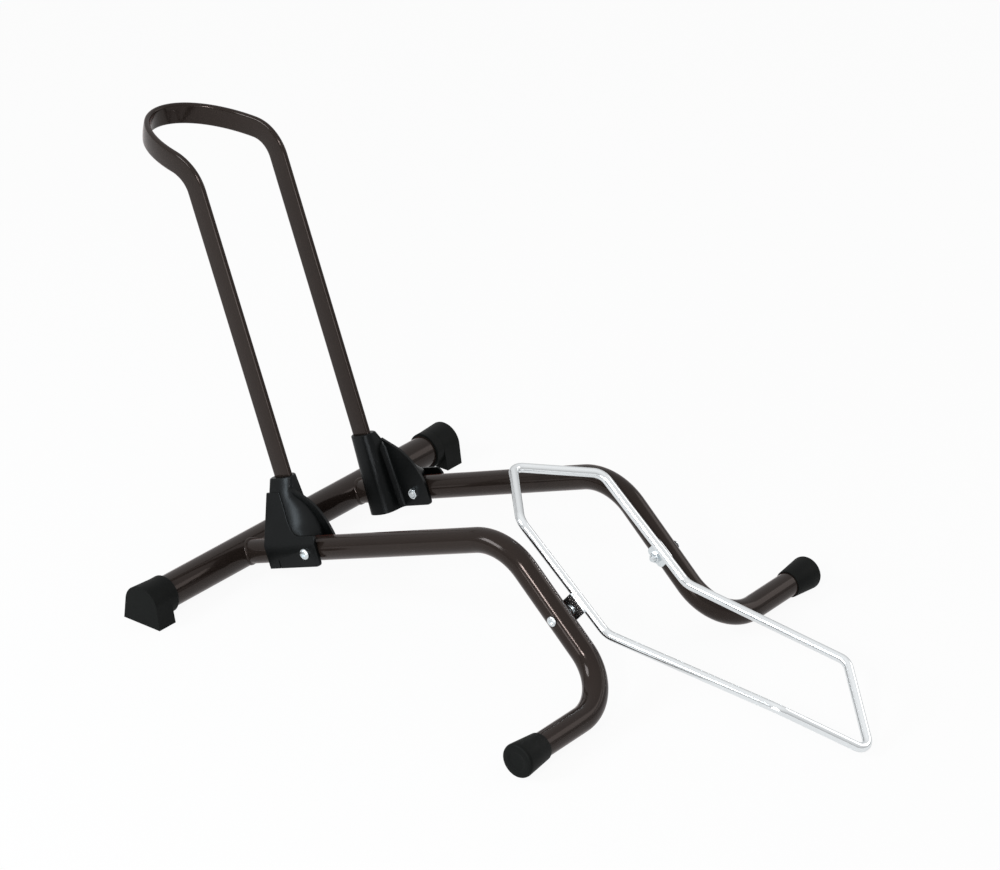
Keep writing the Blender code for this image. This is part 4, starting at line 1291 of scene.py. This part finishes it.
@dataclass
class Hardware:
    """The bolts, nuts and washers at the brackets and at the rocker's pivots."""

    layout: Layout
    shank: float = 0.0030
    point_length: float = 0.0004
    point_cut: float = 0.0003
    thread_pitch: float = 0.0010
    thread_depth: float = 0.0003
    thread_ridges: int = 11
    ridge_half: float = 0.00012
    thread_end: float = 0.0118
    rim_share: float = 0.97
    rim_rise: float = 0.08
    dome_foot: float = 0.22
    dome_top: float = 0.30
    dome_steps: int = 10
    socket_width: float = 0.0040
    socket_floor: float = 0.62
    nut_width: float = 0.0100
    nut_height: float = 0.0050
    nut_turned: float = 0.0008
    nut_face_share: float = 0.475
    barrel_room: float = 0.0004
    barrel_points: int = 72
    barrel_top_share: float = 0.30
    nut_sink: float = 0.0009
    sink_low: float = 0.0001
    sink_high: float = 0.0010
    sink_past: float = 0.0002
    washer_inner: float = 0.0724
    washer_radius: float = 0.0060
    washer_height: float = 0.0012
    washer_edge: float = 0.00015
    bore_room: float = 0.0003
    past: float = 0.0010

    def build(self, room: FinishRoom) -> None:
        """Make the hardware of both sides.

        Args:
            room: Where the finishes are kept.
        """
        here = self.layout
        joints = ((here.bracket_bolt, BRACKET_JOINT), (here.pivot, PIVOT_JOINT))
        for kind, make in (("_bolt_", self._bolt), ("_nut_", self._nut)):
            for at, joint in joints:
                node = joint.place + kind
                self._both(room, make(node + "skin_near", at, joint), node + "skin_far", node)
        washer = self._washer("pivot_washer_skin_near", here.pivot)
        self._both(room, washer, "pivot_washer_skin_far", "pivot_washer_")

    @staticmethod
    def _both(room: FinishRoom, near: Piece, far_name: str, node: str) -> None:
        """Dress a near piece and its mirrored copy.

        Args:
            room: Where the finishes are kept.
            near: The near piece.
            far_name: The copy's name.
            node: The start of the frame nodes' names.
        """
        far = Workbench.mirrored(near, far_name)
        for piece, side in ((near, Side.NEAR), (far, Side.FAR)):
            room.dress(piece, ZINC, Body.FRAME)
            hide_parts(node + side.label)

    @staticmethod
    def _hexagon(at: Vector, y: float, width: float) -> list:
        """Corners of a hexagon square to Y.

        Args:
            at: Its centre in the middle plane.
            y: Where it stands.
            width: Its width over two flats.

        Returns:
            The corners, the first of them towards +X.
        """
        corner = width / 2.0 / math.cos(math.pi / 6.0)
        angles = [math.pi / 3.0 * i for i in range(6)]
        return [Vector((at.x + corner * math.cos(a), y, at.z + corner * math.sin(a)))
                for a in angles]

    def _bolt(self, name: str, at: Vector, joint: BoltedJoint) -> Piece:
        """Turn a threaded bolt with a low dome head, and sink a hexagon socket into it.

        Args:
            name: The piece's name.
            at: The bolt's axis in the middle plane.
            joint: The bolt's sizes.

        Returns:
            The finished bolt.
        """
        reach, radius, height = joint.bolt_length, joint.head_radius, joint.head_height
        out = Vector((0.0, -1.0, 0.0))
        low = Vector((at.x, reach - joint.seat, at.z))
        root = self.shank - self.thread_depth
        profile = [(0.0, root - self.point_cut), (self.point_length, root)]
        for i in range(self.thread_ridges):
            ridge = self.point_length + self.thread_pitch * (i + 0.5)
            profile += [(ridge - self.ridge_half, self.shank),
                        (ridge + self.ridge_half, self.shank),
                        (ridge + self.thread_pitch / 2.0, root)]
        profile += [(self.thread_end, self.shank), (reach, self.shank),
                    (reach, radius * self.rim_share), (reach + height * self.rim_rise, radius)]
        foot, top = self.dome_foot, self.dome_top
        for i in range(1, self.dome_steps):
            a = math.radians(90.0 * i / self.dome_steps)
            profile.append((reach + height * (foot + (1.0 - foot) * math.sin(a)),
                            radius * (top + (1.0 - top) * math.cos(a))))
        profile.append((reach + height, radius * top))
        piece = DrawnRing(name, low, out, profile[0][1]).turned(profile, out).finish(angle=38.0)
        crest = -joint.seat - height
        outlines = [self._hexagon(at, y, self.socket_width)
                    for y in (crest - self.past, crest + height * self.socket_floor)]
        socket = LaidRings("socket_cut", outlines[0]).onto(outlines[1]).finish()
        Workbench.join(piece, socket, "DIFFERENCE")
        return Workbench.settle(piece, angle=32.0)

    def _nut(self, name: str, at: Vector, joint: BoltedJoint) -> Piece:
        """Shape a hexagon nut and turn its free corners off to a cone.

        Args:
            name: The piece's name.
            at: The nut's axis in the middle plane.
            joint: The nut's place.

        Returns:
            The finished nut.
        """
        face, height, past = joint.nut_face, self.nut_height, self.past
        outlines = [self._hexagon(at, y, self.nut_width) for y in (-face, -face + height)]
        piece = LaidRings(name, outlines[0]).onto(outlines[1]).finish()
        wide = self.nut_width / 2.0 / math.cos(math.radians(30.0)) + self.barrel_room
        inward = Vector((0.0, 1.0, 0.0))
        profile = [(-past, wide), (height - self.nut_turned, wide),
                   (height, self.nut_width * self.nut_face_share),
                   (height + past, self.nut_width * self.barrel_top_share)]
        start = Vector((at.x, -face - past, at.z))
        barrel = DrawnRing("nut_barrel", start, inward, wide, self.barrel_points)
        Workbench.join(piece, barrel.turned(profile, inward).finish(), "INTERSECT")
        sink = [(height - self.nut_sink, self.shank + self.sink_low),
                (height + self.sink_past, self.shank + self.sink_high)]
        start = Vector((at.x, -face + sink[0][0], at.z))
        cone = DrawnRing("nut_countersink", start, inward, sink[0][1]).turned(sink, inward)
        Workbench.join(piece, cone.finish(), "DIFFERENCE")
        return Workbench.settle(piece, angle=25.0)

    def _washer(self, name: str, at: Vector) -> Piece:
        """Turn a washer with softened rims.

        Args:
            name: The piece's name.
            at: The washer's axis in the middle plane.

        Returns:
            The finished washer.
        """
        out = Vector((0.0, -1.0, 0.0))
        bore, rim = self.shank + self.bore_room, self.washer_radius
        soft, height = self.washer_edge, self.washer_height
        profile = [(0.0, bore), (0.0, rim - soft), (soft, rim), (height - soft, rim),
                   (height, rim - soft), (height, bore)]
        ring = DrawnRing(name, Vector((at.x, -self.washer_inner, at.z)), out, bore)
        return ring.turned(profile, out).finish()


# ---- Studio --------------------------------------------------------------------


@dataclass(frozen=True)
class Lamp:
    """One rectangular lamp."""

    name: str
    place: tuple
    target: tuple
    size: tuple
    power: float
    tint: tuple

    def hang(self) -> None:
        """Hang the lamp, which the camera doesn't see."""
        Workbench.clear()
        bpy.ops.object.light_add(type="AREA", location=self.place)
        lamp = bpy.context.object
        lamp.name = self.name
        lamp.data.shape = "RECTANGLE"
        lamp.data.size, lamp.data.size_y = self.size
        lamp.data.energy = self.power
        lamp.data.color = self.tint
        lamp.visible_camera = False
        beam = Vector(self.target) - Vector(self.place)
        lamp.rotation_euler = beam.to_track_quat("-Z", "Y").to_euler()


# The small key draws the thin highlights. The others are soft and weak.
LAMPS = (
    Lamp("small_key", place=(1.16, -2.86, 1.86), target=(0.03, -0.09, 0.12),
         size=(0.42, 0.60), power=46.0, tint=(1.0, 0.98, 0.97)),
    Lamp("cool_softbox", place=(-1.12, -1.95, 1.52), target=(-0.2, -0.05, 0.08),
         size=(1.1, 0.8), power=34.0, tint=(0.86, 0.95, 1.0)),
    Lamp("low_fill", place=(0.70, -2.15, 0.30), target=(-0.2, 0.05, 0.09),
         size=(1.4, 0.5), power=11.0, tint=(0.95, 0.98, 1.0)),
    Lamp("back_fill", place=(1.25, 1.80, 1.15), target=(-0.26, -0.10, 0.05),
         size=(1.6, 1.0), power=7.0, tint=(1.0, 0.97, 0.95)),
)


@dataclass
class Studio:
    """The pale floor, the soft surroundings and the camera."""

    layout: Layout
    camera_place: tuple = (2.3893, -2.6731, 1.8776)
    camera_azimuth: float = 38.4418
    camera_elevation: float = 26.1724
    focal_pixels: float = 3868.3
    photo_width: float = 1000.0
    sensor_width: float = 36.0
    sight: float = 60.0
    rim: float = 0.24
    horizon: float = 0.52
    horizon_height: float = 0.07
    wall_height: float = 0.30
    wall_share: float = 0.3
    zenith: float = 1.0
    matt_share: float = 0.55
    floor_width: float = 30.0
    floor_drop: float = 0.0004
    floor_tone: float = 0.80
    floor_roughness: float = 0.95
    floor_glow: float = 0.935
    floor_mirrored: float = 0.62

    def build(self) -> None:
        """Set up the floor, world, lamps and camera."""
        self._floor()
        self._world()
        for lamp in LAMPS:
            lamp.hang()
        self._camera()
        bpy.context.scene.view_settings.view_transform = "Standard"

    def _backdrop_ray(self, graph: Graph) -> bpy.types.NodeSocket:
        """Join the rays that should see a plain background: camera, glossy and transmission.

        Args:
            graph: The floor's graph.

        Returns:
            A socket that is 1 for camera and transmission rays, and less for glossy rays.
        """
        path = graph.add("ShaderNodeLightPath", {}).outputs
        dimmed = graph.add("ShaderNodeMath", {0: path["Is Glossy Ray"], 1: self.floor_mirrored},
                           operation="MULTIPLY").outputs["Value"]
        seen = graph.add("ShaderNodeMath", {0: path["Is Camera Ray"], 1: dimmed},
                         operation="MAXIMUM").outputs["Value"]
        return graph.add("ShaderNodeMath", {0: seen, 1: path["Is Transmission Ray"]},
                         operation="MAXIMUM").outputs["Value"]

    def _floor(self) -> None:
        """Lay a wide pale floor that keeps a faint shadow."""
        Workbench.clear()
        bpy.ops.mesh.primitive_plane_add(size=self.floor_width,
                                         location=(0.0, 0.0, -self.floor_drop))
        floor = bpy.context.object
        floor.name = "studio_floor"
        made = bpy.data.materials.new("pale_floor")
        made.use_nodes = True
        graph = Graph(made.node_tree)
        matt = graph.feed(graph.nodes["Principled BSDF"], {
            "Base Color": grey(self.floor_tone), "Roughness": self.floor_roughness,
            "Specular IOR Level": 0.0})
        glow = graph.add("ShaderNodeEmission", {"Color": grey(1.0), "Strength": 1.0})
        share = graph.add("ShaderNodeMath", {0: self._backdrop_ray(graph), 1: self.floor_glow},
                          operation="MULTIPLY")
        mix = graph.add("ShaderNodeMixShader", {
            0: share.outputs["Value"], 1: matt.outputs["BSDF"], 2: glow.outputs["Emission"]})
        graph.feed(graph.nodes["Material Output"], {"Surface": mix.outputs["Shader"]})
        floor.data.materials.append(made)

    def _world(self) -> None:
        """Surround the stand with soft light, weaker near the floor, on a white background."""
        world = bpy.data.worlds.new("studio_world")
        bpy.context.scene.world = world
        world.use_nodes = True
        graph = Graph(world.node_tree)
        place = graph.add("ShaderNodeTexCoord", {}).outputs["Generated"]
        axes = graph.add("ShaderNodeSeparateXYZ", {"Vector": place})
        walls = graph.add("ShaderNodeValToRGB", {"Fac": axes.outputs["Z"]})
        ramp = walls.color_ramp
        ramp.elements[0].position, ramp.elements[0].color = 0.0, grey(self.rim)
        ramp.elements[1].position, ramp.elements[1].color = 1.0, grey(self.zenith)
        wall = self.horizon * (1.0 - self.wall_share) + self.zenith * self.wall_share
        ramp.elements.new(self.horizon_height).color = grey(self.horizon)
        ramp.elements.new(self.wall_height).color = grey(wall)
        path = graph.add("ShaderNodeLightPath", {}).outputs
        strength = graph.add("ShaderNodeMath", {
            0: path["Is Glossy Ray"], 1: 1.0 - self.matt_share, 2: self.matt_share,
        }, operation="MULTIPLY_ADD")
        soft = graph.feed(graph.nodes["Background"], {
            "Color": walls.outputs["Color"], "Strength": strength.outputs["Value"]})
        white = graph.add("ShaderNodeBackground", {"Color": grey(1.0), "Strength": 1.0})
        mix = graph.add("ShaderNodeMixShader", {
            0: path["Is Camera Ray"], 1: soft.outputs["Background"],
            2: white.outputs["Background"]})
        graph.feed(graph.nodes["World Output"], {"Surface": mix.outputs["Shader"]})

    def _camera(self) -> None:
        """Stand the camera at the photograph's angle."""
        Workbench.clear()
        bpy.ops.object.camera_add(location=self.layout.at(*self.camera_place))
        camera = bpy.context.object
        camera.name = "photo_camera"
        camera.rotation_euler = (math.radians(90.0 - self.camera_elevation), 0.0,
                                 math.radians(self.camera_azimuth))
        camera.data.sensor_fit = "HORIZONTAL"
        camera.data.sensor_width = self.sensor_width
        camera.data.lens = self.focal_pixels * self.sensor_width / self.photo_width
        camera.data.clip_end = self.sight
        bpy.context.scene.camera = camera


def main() -> None:
    """Build and dress the stand, one sub-assembly after another."""
    logging.basicConfig(level=logging.INFO, format="%(name)s: %(message)s")
    layout = Layout()
    room = FinishRoom()
    assemblies = (BaseTubes(layout), RubberEnds(layout), Hoop(layout), HoopBrackets(),
                  Rocker(layout), Hardware(layout))
    for assembly in assemblies:
        LOG.info("building %s", type(assembly).__name__)
        assembly.build(room)
    Studio(layout).build()


if __name__ == "__main__":
    main()
